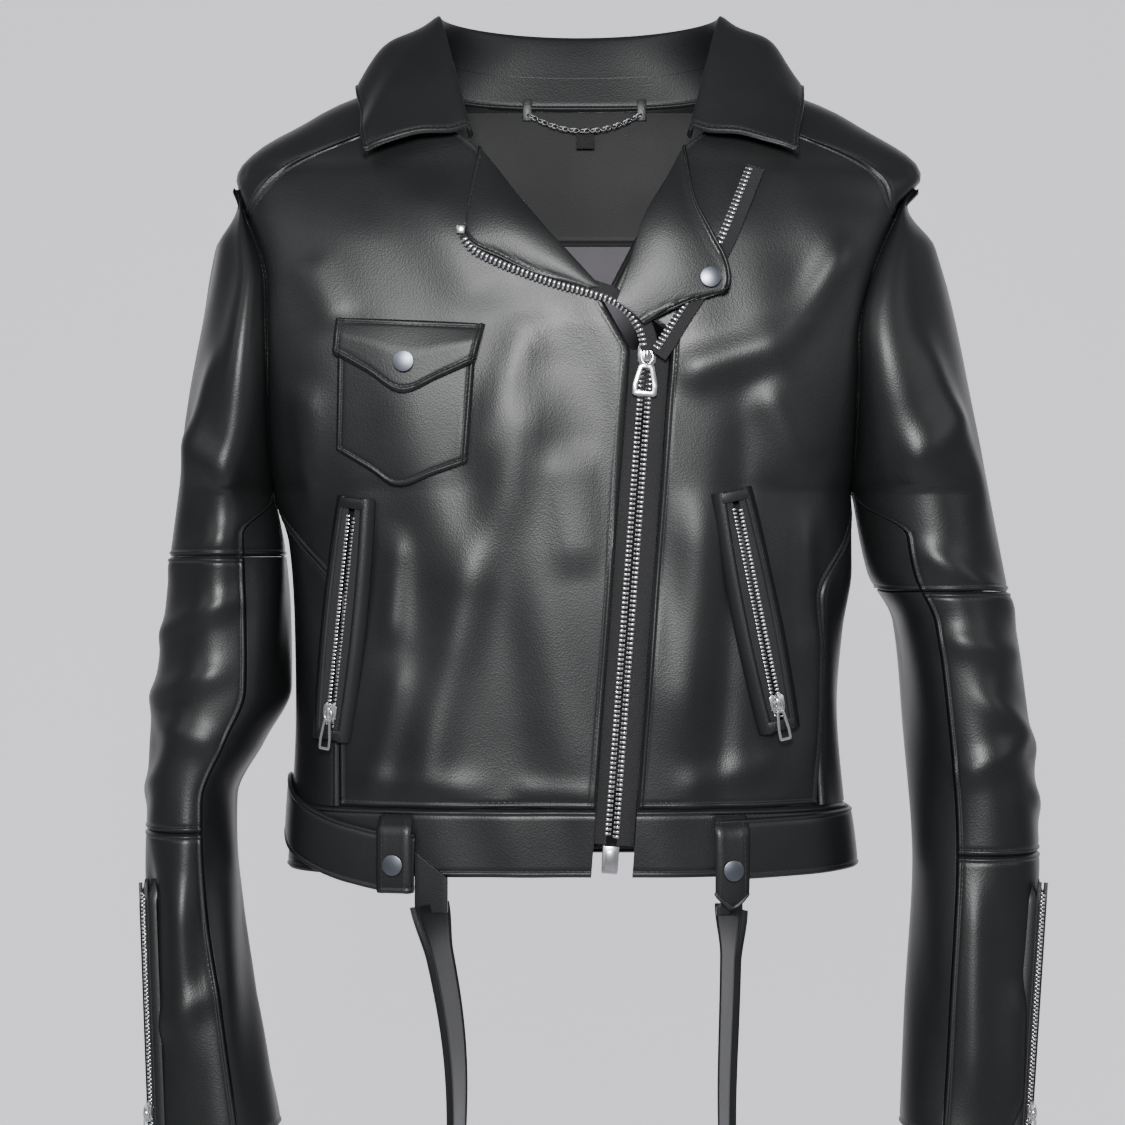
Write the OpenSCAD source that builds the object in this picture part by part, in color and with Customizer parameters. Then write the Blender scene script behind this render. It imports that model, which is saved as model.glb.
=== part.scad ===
// Cropped riding jacket with an asymmetric front zip, hanging empty.
// Origin: the seat of the hang chain at the back of the neck. +Z up, the front faces -Y,
// and "right" is the wearer's right, on -X.

/* [Torso] */
// Half width at the shoulder points
shoulder_half = 220; // [190:1:250]
// Half width at the neck points
neck_half = 98; // [85:1:110]
// Half width of the right side at the waist
waist_half_right = 181; // [165:1:184]
// Half width of the left side at the waist
waist_half_left = 164; // [150:1:168]
// Half width of the right side at the hem
hem_half_right = 186; // [170:1:190]
// Half width of the left side at the hem
hem_half_left = 174; // [160:1:178]
// Depth of the front from the side seams
front_depth = 72; // [60:1:85]
// Depth of the back from the side seams
back_depth = 64; // [54:1:75]
// Drop from the origin to the shoulder points
shoulder_drop = 50; // [42:1:58]
// Drop from the origin to the armpits
armpit_drop = 250; // [225:1:260]
// Drop from the origin to the waist
waist_drop = 390; // [370:1:410]
// Drop from the origin to the top of the hem band
hem_drop = 448; // [440:1:470]

/* [Leather and lining] */
// Thickness of a leather panel with its backing
leather_t = 2.4; // [1.6:0.1:3]
// Thickness of the lining
lining_t = 1.2; // [0.8:0.1:2]
// Gap left at a seam between two panels
seam_gap = 0.3; // [0.3:0.1:0.6]
// Gap between layers that lie on each other
layer_gap = 0.6; // [0.5:0.1:1]

/* [Sleeves] */
// Outer reach of the right sleeve at the elbow
reach_right = 268; // [262:1:285]
// Outer reach of the left sleeve at the elbow
reach_left = 283; // [277:1:300]
// Width of a sleeve at the cuff
cuff_width = 80; // [72:1:84]
// Half depth of a sleeve at the upper arm
arm_half_depth = 55; // [48:1:58]
// Half depth of a sleeve at the cuff
cuff_half_depth = 38; // [34:1:44]
// Drop from the origin to the right elbow axis
elbow_drop_right = 330; // [318:1:342]
// Drop from the origin to the left elbow axis
elbow_drop_left = 346; // [334:1:358]
// Drop from the origin to the cuff edges
cuff_drop = 648; // [620:1:680]
// Radius of the round joint line at the elbow
elbow_joint_r = 66; // [64:1:70]
// How far the cuff hangs forward of the shoulder
cuff_forward = 40; // [25:1:50]

/* [Collar] */
// Height of the collar roll at the back of the neck
collar_h = 48; // [38:1:58]
// Depth of the turned-down collar at the back
collar_fall_h = 60; // [50:1:72]

/* [Main zip] */
// Width of the closed chain
chain_w = 8.4; // [6:0.2:10]
// Thickness of the teeth
chain_t = 2.6; // [2:0.1:3]
// Gap between the two rows, where the slider's post runs
row_gap = 1.6; // [1.4:0.1:2.2]
// Pitch of the teeth
tooth_pitch = 2.9; // [2.5:0.1:3.5]
// Width of one zip tape
tape_w = 14; // [12:0.5:18]
// Thickness of a zip tape
tape_t = 0.8; // [0.5:0.1:1]
// X of the chain at the rest place of the slider
chain_top_x = 41; // [36:1:46]
// X of the chain at the bottom stop
chain_bottom_x = 19; // [15:1:24]
// Drop from the origin to the slider at rest
slider_drop = 169; // [165:1:175]
// Travel of the slider down the chain
slider_travel = 288; // [200:1:288]
// Running gap of a slider
slider_clear = 0.4; // [0.3:0.05:0.6]

/* [Hand pockets] */
// Length of a hand pocket zip
pocket_zip_l = 140; // [120:1:150]
// Width of the closed chain of a small zip
small_chain_w = 6; // [5:0.2:7]
// Travel of a hand pocket slider
pocket_travel = 115; // [90:1:118]

/* [Cuff zips] */
// Length of a cuff zip
cuff_zip_l = 150; // [130:1:160]
// Travel of a cuff slider
cuff_travel = 118; // [90:1:122]

/* [Belt and snaps] */
// Width of the belt
belt_w = 38; // [32:1:42]
// Thickness of the belt
belt_t = 3; // [2.4:0.1:3.6]
// Height of the hem band
band_h = 42; // [38:1:46]
// Length of a belt tail
tail_l = 215; // [150:1:240]
// Diameter of a snap cap
snap_d = 12.6; // [10:0.2:15]
// Height of a snap cap
snap_h = 2.2; // [1.6:0.1:3]

/* [Hidden] */
$fn = 32;

RIGHT = -1;
LEFT = 1;
BLACK = [0.07, 0.07, 0.07];
EDGE = [0.11, 0.11, 0.11];
SATIN = [0.24, 0.22, 0.25];
TAPE = [0.1, 0.1, 0.1];
STEEL = [0.78, 0.78, 0.8];

// ---- Torso surface: closed sections stacked along Z ----
mid_y = -38;                       // plane of the shoulder line and the side seams
round_x = 2.6;                     // exponent of a section across
neck_top = 14;                     // height of the neck points
armhole_depth = 46;                // half depth of the armhole
neck_front = [64, -37];            // where lapel and collar meet
v_bottom = [14, -130];             // bottom of the neckline
yoke_angle = 62;                   // section angle where the yoke seam meets the neck
yoke_z = [-80, -14];               // the yoke seam at the armhole and at the neck
back_yoke_z = -92;

function lerp(a, b, t) = a + (b - a) * t;
function clamp01(t) = max(0, min(1, t));
function half_width(side, z) = side < 0
    ? lookup(z, [[-hem_drop - band_h, hem_half_right], [-waist_drop, waist_half_right],
        [-waist_drop + 50, waist_half_right + 1], [-armpit_drop - 35, waist_half_right + 5],
        [-armpit_drop, waist_half_right + 14], [-armpit_drop / 2, waist_half_right + 15],
        [-shoulder_drop - 20, shoulder_half - 7], [-shoulder_drop, shoulder_half],
        [-15, shoulder_half - 46], [0, shoulder_half - 78], [neck_top, neck_half]])
    : lookup(z, [[-hem_drop - band_h, hem_half_left], [-waist_drop, waist_half_left],
        [-waist_drop + 50, waist_half_left + 4], [-armpit_drop - 50, waist_half_left + 10],
        [-armpit_drop, waist_half_left + 10], [-armpit_drop * 0.64, waist_half_left + 9],
        [-shoulder_drop - 24, shoulder_half - 19], [-shoulder_drop, shoulder_half - 2],
        [-15, shoulder_half - 46], [0, shoulder_half - 78], [neck_top, neck_half]]);
function depth_front(z) = lookup(z, [[-armpit_drop * 0.6, front_depth],
    [-100, front_depth - 3], [-shoulder_drop, front_depth - 17], [0, front_depth - 36],
    [neck_top, front_depth - 46]]);
function depth_back(z) = lookup(z, [[-hem_drop - band_h, back_depth - 4],
    [-waist_drop, back_depth - 7], [-200, back_depth], [-100, back_depth - 3],
    [-shoulder_drop, back_depth - 12], [0, back_depth - 24], [neck_top, back_depth - 32]]);
function armhole_t(z) = clamp01((-shoulder_drop - z) / (armpit_drop - shoulder_drop));
function armhole_half(z) = armhole_depth * pow(sin(180 * armhole_t(z)), 0.7);
function torso_at(a, z) = let (
    c = cos(a), s = sin(a), side = c < 0 ? RIGHT : LEFT, back = s > 0 ? 1 : -1,
    deep = s > 0 ? depth_back(z) : depth_front(z), slot = armhole_half(z))
    [side * half_width(side, z) * pow(abs(c), 2 / round_x),
     mid_y + back * (slot + (deep - slot) * pow(abs(s), 2 / round_x)), z];
function unit(v) = v / norm(v);
function torso_normal(a, z) = let (
    b = a < -90 ? max(a, -178) : a > 90 ? min(a, 178) : abs(a) < 2 ? 2 * (a < 0 ? -1 : 1) : a,
    da = torso_at(b + 0.5, z) - torso_at(b - 0.5, z),
    dz = torso_at(b, z + 0.5) - torso_at(b, z - 0.5))
    unit(cross(da, dz));
function torso_point(a, z, off) = torso_at(a, z) + off * torso_normal(a, z);
// Section angle of a place on the front, from its X
function front_angle(x, z) = let (side = x < 0 ? RIGHT : LEFT,
    c = pow(min(1, abs(x) / half_width(side, z)), round_x / 2)) -acos(side * c);
function back_angle(x, z) = -front_angle(x, z);
function front_point(x, z, off) = torso_point(front_angle(x, z), z, off);

// ---- Closed solids from two point grids of the same size ----
function sum(v, i = 0, total = 0) = i < len(v) ? sum(v, i + 1, total + v[i]) : total;
// A polyhedron whose faces are turned over where they enclose a negative volume
module closed(points, faces) {
    o = points[0];
    volume = sum([for (f = faces, k = [1 : len(f) - 2])
        cross(points[f[0]] - o, points[f[k]] - o) * (points[f[k + 1]] - o)]);
    turned = [for (f = faces) [for (k = [len(f) - 1 : -1 : 0]) f[k]]];
    polyhedron(points = points, faces = volume > 0 ? turned : faces, convexity = 6);
}
module shell(outer, inner) {
    rows = len(outer);
    cols = len(outer[0]);
    n = rows * cols;
    at = function(r, c) r * cols + c;
    faces = concat(
        [for (r = [0 : rows - 2], c = [0 : cols - 2])
            each [[at(r, c), at(r, c + 1), at(r + 1, c + 1)],
                  [at(r, c), at(r + 1, c + 1), at(r + 1, c)]]],
        [for (r = [0 : rows - 2], c = [0 : cols - 2])
            each [[n + at(r, c), n + at(r + 1, c + 1), n + at(r, c + 1)],
                  [n + at(r, c), n + at(r + 1, c), n + at(r + 1, c + 1)]]],
        [for (c = [0 : cols - 2])
            each [[at(0, c), n + at(0, c), n + at(0, c + 1)],
                  [at(0, c), n + at(0, c + 1), at(0, c + 1)],
                  [at(rows - 1, c + 1), n + at(rows - 1, c + 1), n + at(rows - 1, c)],
                  [at(rows - 1, c + 1), n + at(rows - 1, c), at(rows - 1, c)]]],
        [for (r = [0 : rows - 2])
            each [[at(r + 1, 0), n + at(r + 1, 0), n + at(r, 0)],
                  [at(r + 1, 0), n + at(r, 0), at(r, 0)],
                  [at(r, cols - 1), n + at(r, cols - 1), n + at(r + 1, cols - 1)],
                  [at(r, cols - 1), n + at(r + 1, cols - 1), at(r + 1, cols - 1)]]]);
    closed(concat([for (row = outer) each row], [for (row = inner) each row]), faces);
}
// A sheet between two surfaces; at(u, v, off) gives a point, u and v run from 0 to 1
module sheet(at, nu, nv, off, t) {
    grid = function(o) [for (j = [0 : nv]) [for (i = [0 : nu]) at(i / nu, j / nv, o)]];
    shell(grid(off), grid(off - t));
}
// A torso panel between two angles, each a function of z, with a row of points at each height
module torso_panel(a0, a1, rows, nu, off = 0, t = leather_t) {
    inset = function(z) seam_gap / 2 / max(60, half_width(LEFT, z)) * 57;
    grid = function(o) [for (z = rows) [for (i = [0 : nu])
        torso_point(lerp(a0(z) + inset(z), a1(z) - inset(z), i / nu), z, o)]];
    shell(grid(off), grid(off - t));
}
function spaced(a, b, n) = [for (i = [0 : n]) lerp(a, b, i / n)];
function strip(z0, z1, n) = spaced(z0 + seam_gap / 2, z1 - seam_gap / 2, n);
// A four-sided patch laid on the front, from its corners in X and Z
module front_patch(c00, c10, c11, c01, nu, nv, off, t) {
    sheet(function(u, v, o) let (p = lerp(lerp(c00, c10, u), lerp(c01, c11, u), v))
        front_point(p[0], p[1], o), nu, nv, off, t);
}
// A bar of rectangular section through points; side(i) is its width direction
module bar(points, wide, thick, out) {
    last = len(points) - 1;
    ring = function(i) let (
        d = unit(points[min(i + 1, last)] - points[max(i - 1, 0)]),
        n = unit(out[i] - (out[i] * d) * d), s = cross(d, n), p = points[i])
        [p - s * wide / 2 - n * thick / 2, p + s * wide / 2 - n * thick / 2,
         p + s * wide / 2 + n * thick / 2, p - s * wide / 2 + n * thick / 2];
    faces = concat([[0, 1, 2, 3]], [[4 * last + 3, 4 * last + 2, 4 * last + 1, 4 * last]],
        [for (i = [0 : last - 1], k = [0 : 3])
            each [[4 * i + k, 4 * i + 4 + k, 4 * i + 4 + (k + 1) % 4],
                  [4 * i + k, 4 * i + 4 + (k + 1) % 4, 4 * i + (k + 1) % 4]]]);
    closed([for (i = [0 : last]) each ring(i)], faces);
}

// ---- Torso seams ----
chain_z0 = -slider_drop;
chain_end_z = -hem_drop - 22;
function chain_x(z) = lerp(chain_top_x, chain_bottom_x,
    (chain_z0 - z) / (chain_z0 - chain_end_z));
placket = [10.5, 14];              // from the chain to the leather edge, right and left
side_seam_x = 150;
function side_angle(side, z) = front_angle(side * side_seam_x, z);
// Inner edge of a front panel: neckline, fold line, then beside the zip
function front_edge_x(side, z) = z > neck_front[1]
    ? lookup(z, [[neck_front[1], side * neck_front[0]], [yoke_z[1], side * 96]])
    : z > v_bottom[1]
    ? lookup(z, [[v_bottom[1], v_bottom[0] + 3 * side], [neck_front[1], side * neck_front[0]]])
    : side < 0
    ? (z > chain_z0 + 4 ? lookup(z, [[chain_z0 + 4, chain_x(chain_z0) - placket[0]],
        [v_bottom[1], v_bottom[0] - 3]]) : chain_x(z) - placket[0])
    : (z > chain_z0 + 12 ? lookup(z, [[chain_z0 + 12, chain_x(chain_z0) + placket[1]],
        [v_bottom[1], v_bottom[0] + 3]]) : chain_x(z) + placket[1]);
function yoke_a(z) = yoke_angle
    * pow(clamp01((z - yoke_z[0]) / (yoke_z[1] - yoke_z[0])), 1 / 1.6);
function yoke_seam_z(a) = lerp(yoke_z[0], yoke_z[1], pow(clamp01(a / yoke_angle), 1.6));
// Outer edge of a front panel, as an angle from the side
function side_seam_a(side, z) = abs(side_angle(side, z) + (side < 0 ? 180 : 0));
function front_side_a(side, z) = z > yoke_z[0] ? yoke_a(z)
    : z > armpit_z - seam_gap ? 0 : side_seam_a(side, z);
// The back's edge runs out to the armhole over the last millimetre below the armpit
function back_side_a(side, z) = side_seam_a(side, z) * max(0, min(1, (armpit_z - z) / armpit_step));
// Rows of the panels below the armpit, where they share a seam with the side panel
armpit_z = -armpit_drop;
armpit_step = 1;
low_rows = spaced(-hem_drop + seam_gap / 2, armpit_z - armpit_step, 11);
step_rows = spaced(armpit_z - armpit_step * 3 / 4, armpit_z - armpit_step / 4, 2);

module front_panel(side) {
    edge = function(z) front_angle(front_edge_x(side, z), z);
    seam = function(z) side < 0 ? -180 + front_side_a(side, z) : -front_side_a(side, z);
    color(BLACK) torso_panel(side < 0 ? seam : edge, side < 0 ? edge : seam,
        concat(low_rows, spaced(armpit_z, yoke_z[1] - 3, 18)), 10);
}
module front_yoke(side) {
    // Columns run from the shoulder line to the neck, rows from the yoke seam up
    top = function(a) lerp(neck_top, yoke_z[1] + 3, pow(a / yoke_angle, 2));
    color(BLACK) sheet(function(u, v, o) let (a = lerp(0.3, yoke_angle - 2, u),
        z = lerp(yoke_seam_z(a) + seam_gap, top(a), v))
        torso_point(side < 0 ? -180 + a : -a, z, o), 9, 9, 0, leather_t);
}
module back_yoke() {
    top = function(a) neck_top * pow(abs(cos(a)), 2);
    color(BLACK) sheet(function(u, v, o) let (a = lerp(0.3, 179.7, u),
        z = lerp(back_yoke_z + seam_gap, top(a), v)) torso_point(a, z, o), 24, 8, 0, leather_t);
}
module back_panel() {
    color(BLACK) torso_panel(function(z) back_side_a(LEFT, z), function(z) 180 - back_side_a(RIGHT, z),
        concat(low_rows, step_rows, spaced(armpit_z, back_yoke_z, 10)), 18);
}
module side_panel(side) {
    front = function(z) side < 0 ? -180 + side_seam_a(side, z) : -side_seam_a(side, z);
    back = function(z) side < 0 ? -180 - side_seam_a(side, z) : side_seam_a(side, z);
    last = len(low_rows) - 1;
    color(BLACK) torso_panel(side < 0 ? back : front, side < 0 ? front : back,
        [for (k = [0 : last]) low_rows[k] - (k == last ? seam_gap : 0)], 12);
}
module hem_band_front(side) {
    edge = function(z) front_angle(front_edge_x(side, z), z);
    color(BLACK) torso_panel(side < 0 ? function(z) -180 : edge, side < 0 ? edge : function(z) 0,
        strip(-hem_drop - band_h, -hem_drop, 3), 16);
}
module hem_band_back() {
    color(BLACK) torso_panel(function(z) 0, function(z) 180,
        strip(-hem_drop - band_h, -hem_drop, 3), 24);
}

// ---- Inside of the neck ----
facing_drop = 86;
lining_gap = 2.2;                  // the lining hangs a little off the leather
module back_facing() {
    color(EDGE) torso_panel(function(z) 48, function(z) 132, strip(-facing_drop, 0, 5), 14,
        -leather_t - lining_gap, lining_t);
}
module lining_back() {
    color(SATIN) torso_panel(function(z) 40, function(z) 140, strip(-hem_drop, -facing_drop, 14), 18,
        -leather_t - lining_gap, lining_t);
}
chain_ends = [[-34, 1], [41, 0]];
chain_link_d = 2.6;
function back_inner(x, z) = torso_point(back_angle(x, z), z, -leather_t - lining_gap - lining_t);
// The chain hangs from two tabs and its lowest link is the origin
module hang_chain() {
    span = chain_ends[1][0] - chain_ends[0][0];
    y = chain_y;
    points = [for (i = [0 : 14]) let (u = i / 14)
        [lerp(chain_ends[0][0], chain_ends[1][0], u), y, -14 + 11 * pow(2 * u - 1, 2)]];
    color(STEEL) bar(points, chain_link_d, chain_link_d, [for (p = points) [0, 1, 0]]);
}
chain_y = back_inner(chain_ends[1][0], -3)[1] - chain_link_d / 2 - 0.7;
module neck_label() {
    p = back_inner(4, -16);
    color(EDGE) translate([4, p[1] - 2.1, -18]) cube([12, 0.8, 14], center = true);
}

// ---- Collar: a stand round the neck and a turned-down fall ----
// Lines round the neck for u from 0 (right front) to 1 (left front)
function neck_line(u) = let (h = abs(2 * u - 1), s = u < 0.5 ? -1 : 1)
    h > 0.6 ? let (t = (h - 0.6) / 0.4, x = lerp(98, neck_front[0], pow(t, 1.2)),
        z = lerp(neck_top, neck_front[1], t)) [s * x, front_point(s * x, min(z, 13), 0)[1] + 2, z]
    : let (a = 90 - 90 * s * h / 0.6, z = neck_top * pow(abs(cos(a)), 2))
        torso_point(min(179, max(1, a)), z, -leather_t - 0.5) + [0, 0, 0.5];
function roll_line(u) = let (h = abs(2 * u - 1), s = u < 0.5 ? -1 : 1)
    h > 0.6 ? let (t = (h - 0.6) / 0.4)
        [s * lerp(88, neck_front[0] + 3, pow(t, 1.5)), lerp(-46, -92, pow(t, 0.9)),
         lerp(50, neck_front[1] + 4, pow(t, 1.6))]
    : let (a = h / 0.6 * 90) [s * 88 * sin(a), -46 + 54 * cos(a),
        lerp(collar_h, 50, h / 0.6)];
function edge_line(u) = let (h = abs(2 * u - 1), s = u < 0.5 ? -1 : 1)
    h > 0.6 ? let (t = (h - 0.6) / 0.4)
        [s * lerp(140, 131, t), lerp(-50, -97, pow(t, 0.6)), lerp(4, -46, t)]
    : let (a = h / 0.6 * 90) [s * 140 * pow(sin(a), 0.7), -50 + 82 * cos(a),
        lerp(collar_h - collar_fall_h, 4, h / 0.6)];
module collar_stand() {
    color(BLACK) sheet(function(u, v, o) let (w = lerp(0.04, 0.96, u),
        p = lerp(neck_line(w), roll_line(w), v * 0.99),
        d = p - [0, -38, p[2]], n = unit([d[0], d[1], 0])) p + o * n, 30, 4, 0, 2 * leather_t);
}
module collar_fall() {
    color(BLACK) sheet(function(u, v, o) let (w = lerp(0.005, 0.995, u),
        a = roll_line(w), b = edge_line(w), p = lerp(a, b, v),
        d = [p[0], p[1] + 38, 30], n = unit(d), lift = 9 * sin(180 * pow(v, 0.6)))
        p + (o + lift + 1) * n, 30, 6, leather_t, leather_t);
}

// ---- Lapels ----
lapel_off = 2 * layer_gap + leather_t;
module lapel_right() {
    color(BLACK) front_patch([v_bottom[0] - 9, v_bottom[1] - 1], [v_bottom[0] - 3, v_bottom[1] + 2],
        [-neck_front[0] - 1, neck_front[1] - 5], [-neck_front[0] - 9, neck_front[1] - 56],
        4, 9, lapel_off, leather_t);
}
lapel_corner = [91, -128];
row_off = layer_gap + chain_t;
lapel_left_off = row_off + layer_gap + leather_t;
module lapel_left() {
    color(BLACK) front_patch([v_bottom[0] + 8, v_bottom[1] - 8], [39, -151],
        lapel_corner, [neck_front[0] + 2, neck_front[1] - 8], 4, 7, lapel_left_off, leather_t);
}
lapel_snap = [79, -123];
module lapel_snap_cap() {
    color(STEEL) snap_cap(lapel_snap, lapel_left_off + 0.6);
}
// A place on the front: -Y of the child faces outwards
module on_front(x, z, off) {
    p = front_point(x, z, off);
    n = torso_normal(front_angle(x, z), z);
    translate(p) rotate([0, 0, atan2(n[0], -n[1])]) children();
}
module snap_cap(p, off) {
    on_front(p[0], p[1], off + snap_h / 2)
        rotate([90, 0, 0]) cylinder(d = snap_d, h = snap_h, center = true);
}
stud_d = 8;
stud_h = 1.6;
module stud(p, off) {
    on_front(p[0], p[1], off + stud_h / 2 + 0.1)
        rotate([90, 0, 0]) cylinder(d = stud_d, h = stud_h, center = true);
}

// ---- Chest pocket ----
flap_top = [[-149, -145], [-58, -149]];
flap_snap = [-107, -174];
pocket_off = layer_gap + leather_t;
flap_off = pocket_off + leather_t + stud_h + 1;
module chest_pocket() {
    color(BLACK) front_patch([-150, -226], [-69, -235], [-64, -172], [-148, -168], 7, 5,
        pocket_off, leather_t);
}
module chest_flap() {
    color(BLACK) sheet(function(u, v, o) let (x = lerp(flap_top[0][0], flap_top[1][0] - 4 * v, u),
        low = lerp(-168, -174, u) - 20 * (1 - abs(2 * u - 1)),
        z = lerp(lerp(flap_top[0][1], flap_top[1][1], u) - 1, low, v),
        rise = (flap_off - pocket_off - 0.4) * min(1, 2.5 * v))
        front_point(x, z, o + rise), 8, 5, pocket_off + 0.4, leather_t);
}
module flap_snap_cap() {
    color(STEEL) snap_cap(flap_snap, flap_off + 0.2);
}

// ---- Belt, keepers and tails ----
belt_off = layer_gap + belt_t;
keeper_x = [-113, 92];
keeper_w = 21;
keeper_top = -hem_drop - 4;
keeper_tip = [-500, -511];
function keeper(side) = side < 0 ? 0 : 1;
// Middle height of the belt by angle: it droops at the right side
function belt_mid(a) = a < 0 ? (a < -90 ? lookup(a, [[-180, -449], [-160, -462], [-135, -476],
    [-120, -481], [-90, -478]]) : lookup(a, [[-90, -472], [0, -470]]))
    : lookup(a, [[0, -470], [90, -470], [160, -458], [180, -449]]);
// Below the keepers the strap folds down to a short stub that carries each tail
tail_top = [[-88, -512], [91, -514]];
tail_gap = 0.9;
stub_w = [24, 16];
strap_z = -470;
module belt_strap() {
    a0 = front_angle(keeper_x[1] - 9, strap_z);
    a1 = 360 + front_angle(keeper_x[0] + 12, strap_z);
    color(BLACK) sheet(function(u, v, o) let (b = lerp(a0, a1, u), a = b > 180 ? b - 360 : b,
        z = belt_mid(a) + (v - 0.5) * belt_w, f = torso_at(a, max(z, -490)),
        n = torso_normal(a, strap_z)) [f[0], f[1], z] + (o + 0.2) * n, 56, 1, belt_off, belt_t);
    color(BLACK) for (k = [0, 1]) let (x = tail_top[k][0], top = k == 0 ? -474 : -492)
        front_stub(x, stub_w[k], top, tail_top[k][1] + tail_gap);
}
module front_stub(x, w, z0, z1) {
    sheet(function(u, v, o) let (p = front_point(x + (u - 0.5) * w, strap_z, o + 0.2))
        [p[0], p[1], lerp(z0, z1, v)], 3, 1, belt_off, belt_t);
}
module belt_tail(side) {
    k = keeper(side);
    x = tail_top[k][0];
    y = front_point(x, strap_z, belt_off + 0.2 - belt_t / 2)[1];
    drift = side < 0 ? 18 : -2;
    color(BLACK) sheet(function(u, v, o) let (
        turn = 82 * min(1, v * 3) * -side, z = tail_top[k][1] - tail_l * v,
        mid = x + drift * sin(90 * min(1, v * 1.6)),
        d = [cos(turn), sin(turn), 0], n = [sin(turn), -cos(turn), 0])
        [mid, y, z] + d * (u - 0.5) * lerp(stub_w[k], belt_w, min(1, v * 6))
        + n * (o - belt_t / 2), 2, 14, belt_t, belt_t);
}
keeper_off = belt_off + layer_gap + leather_t + 0.3;
module keeper_strap(side) {
    k = keeper(side);
    x = keeper_x[k];
    off = keeper_off;
    color(BLACK) sheet(function(u, v, o) let (w = keeper_w / 2,
        low = keeper_tip[k] + (side < 0 ? 0 : 9) * abs(2 * u - 1),
        z = lerp(keeper_top, low, v), p = front_point(x + (2 * u - 1) * w, max(z, -490), o))
        [p[0], p[1], z], 6, 6, off, leather_t);
    color(STEEL) snap_cap([x, keeper_snap_z[k]], off + 0.2);
}
keeper_snap_z = [-482, -485];
module snap_studs() {
    color(STEEL) {
        stud(lapel_snap, 0.4);
        stud(flap_snap, pocket_off);
    }
}

// ---- Main zip ----
zip_y = mid_y - front_depth + leather_t + 1.8;   // middle plane of the teeth
chain_lean = atan2(chain_top_x - chain_bottom_x, chain_z0 - chain_end_z) * -1;
row_w = (chain_w - row_gap) / 2;
chain_l = norm([chain_top_x - chain_bottom_x, chain_z0 - chain_end_z]);
module on_chain(below) {
    t = below / chain_l;
    translate([lerp(chain_top_x, chain_bottom_x, t), zip_y, lerp(chain_z0, chain_end_z, t)])
        rotate([0, -chain_lean, 0]) children();
}
// One straight row of teeth joined at their roots, on the side s of the gap
module tooth_row(s, w, gap, len, t, pitch) {
    count = floor(len / pitch);
    root = w * 0.4;
    translate([0, t / 2, 0]) rotate([90, 0, 0]) linear_extrude(t) polygon(concat(
        [[s * (gap / 2 + w), -count * pitch], [s * (gap / 2 + w), 0]],
        [for (i = [0 : count - 1]) each [
            [s * gap / 2, -i * pitch], [s * gap / 2, -(i + 0.55) * pitch],
            [s * (gap / 2 + w - root), -(i + 0.62) * pitch],
            [s * (gap / 2 + w - root), -(i + 0.95) * pitch]]]));
}
module zip_tape(side) {
    s = side < 0 ? -1 : 1;
    edge = row_gap / 2 + row_w + 0.15;
    color(TAPE) {
        on_chain(0) translate([s * (edge + (tape_w - 4) / 2), 0, -chain_l / 2 + 2])
            cube([tape_w - 4, tape_t, chain_l + 4], center = true);
    }
}
upper_row_left = [[50, -160], [56, -150], [70, -128], [86, -98], [97, -72], [105, -52]];
chain_start = 4.5;                 // the slider holds the first teeth
module zip_teeth() {
    color(STEEL) on_chain(chain_start) {
        tooth_row(-1, row_w, row_gap, chain_l - chain_start - 2, chain_t, tooth_pitch);
        tooth_row(1, row_w, row_gap, chain_l - chain_start - 2, chain_t, tooth_pitch);
    }
    color(STEEL) {
        curved_row(upper_row_left, row_off);
    }
}
module curved_row(points, off) {
    spots = [for (p = points) front_point(p[0], p[1], off - chain_t / 2)];
    bar(spots, row_w, chain_t, [for (p = points) torso_normal(front_angle(p[0], p[1]), p[1])]);
}
box_l = 17;
module zip_stops() {
    color(STEEL) on_chain(chain_l + box_l / 2 + 0.3)
        cube([chain_w - 0.4, chain_t + 1.6, box_l], center = true);
}
plate_t = 1.1;
// Slider: two plates joined by a post that runs between the rows, and a bridge
module slider(w, l, chain, gap) {
    y = chain / 2 + slider_clear;
    translate([0, -y - plate_t / 2, 0]) cube([w, plate_t, l], center = true);
    translate([0, y + plate_t / 2, 0]) cube([w, plate_t, l], center = true);
    cube([gap - 2 * slider_clear + 0.1, 2 * y + 0.2, l * 0.4], center = true);
    translate([0, -y - plate_t - 1.6, 0]) difference() {
        cube([w * 0.36, 3.4, l * 0.8], center = true);
        translate([0, 0.5, 0]) cube([w, 2.4, l * 0.8 - 2.4], center = true);
    }
}
// Puller: an eye round the bridge and a plate that hangs from it
module puller(w, l, eye, chain, tip = 1) {
    y = -chain / 2 - slider_clear - plate_t - 1.2;
    translate([0, y, 0]) {
        rotate([0, 90, 0]) cylinder(d = 1.5, h = eye, center = true);
        for (s = [-1, 1]) translate([s * (eye / 2 + 0.6), 0, -eye * 0.55])
            cube([1.3, 1.6, eye * 1.1 + 1.4], center = true);
        translate([0, 0, -eye * 1.1 - l / 2]) difference() {
            cube([w, 1.6, l], center = true);
            cube([w * 0.5, 3, l * 0.5], center = true);
        }
    }
}
module main_slider() {
    color(STEEL) on_chain(0) slider(chain_w + 3.6, 12, chain_t, row_gap);
}
module main_puller() {
    color(STEEL) on_chain(0) puller(15, 22, 6.4, chain_t);
}

// ---- Hand pockets ----
hp_top = [[-139, -262], [94, -258]];
hp_bottom = [[-153, -262 - pocket_zip_l], [122, -258 - pocket_zip_l]];
small_t = 2;
hp_stand = 4.8;
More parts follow.
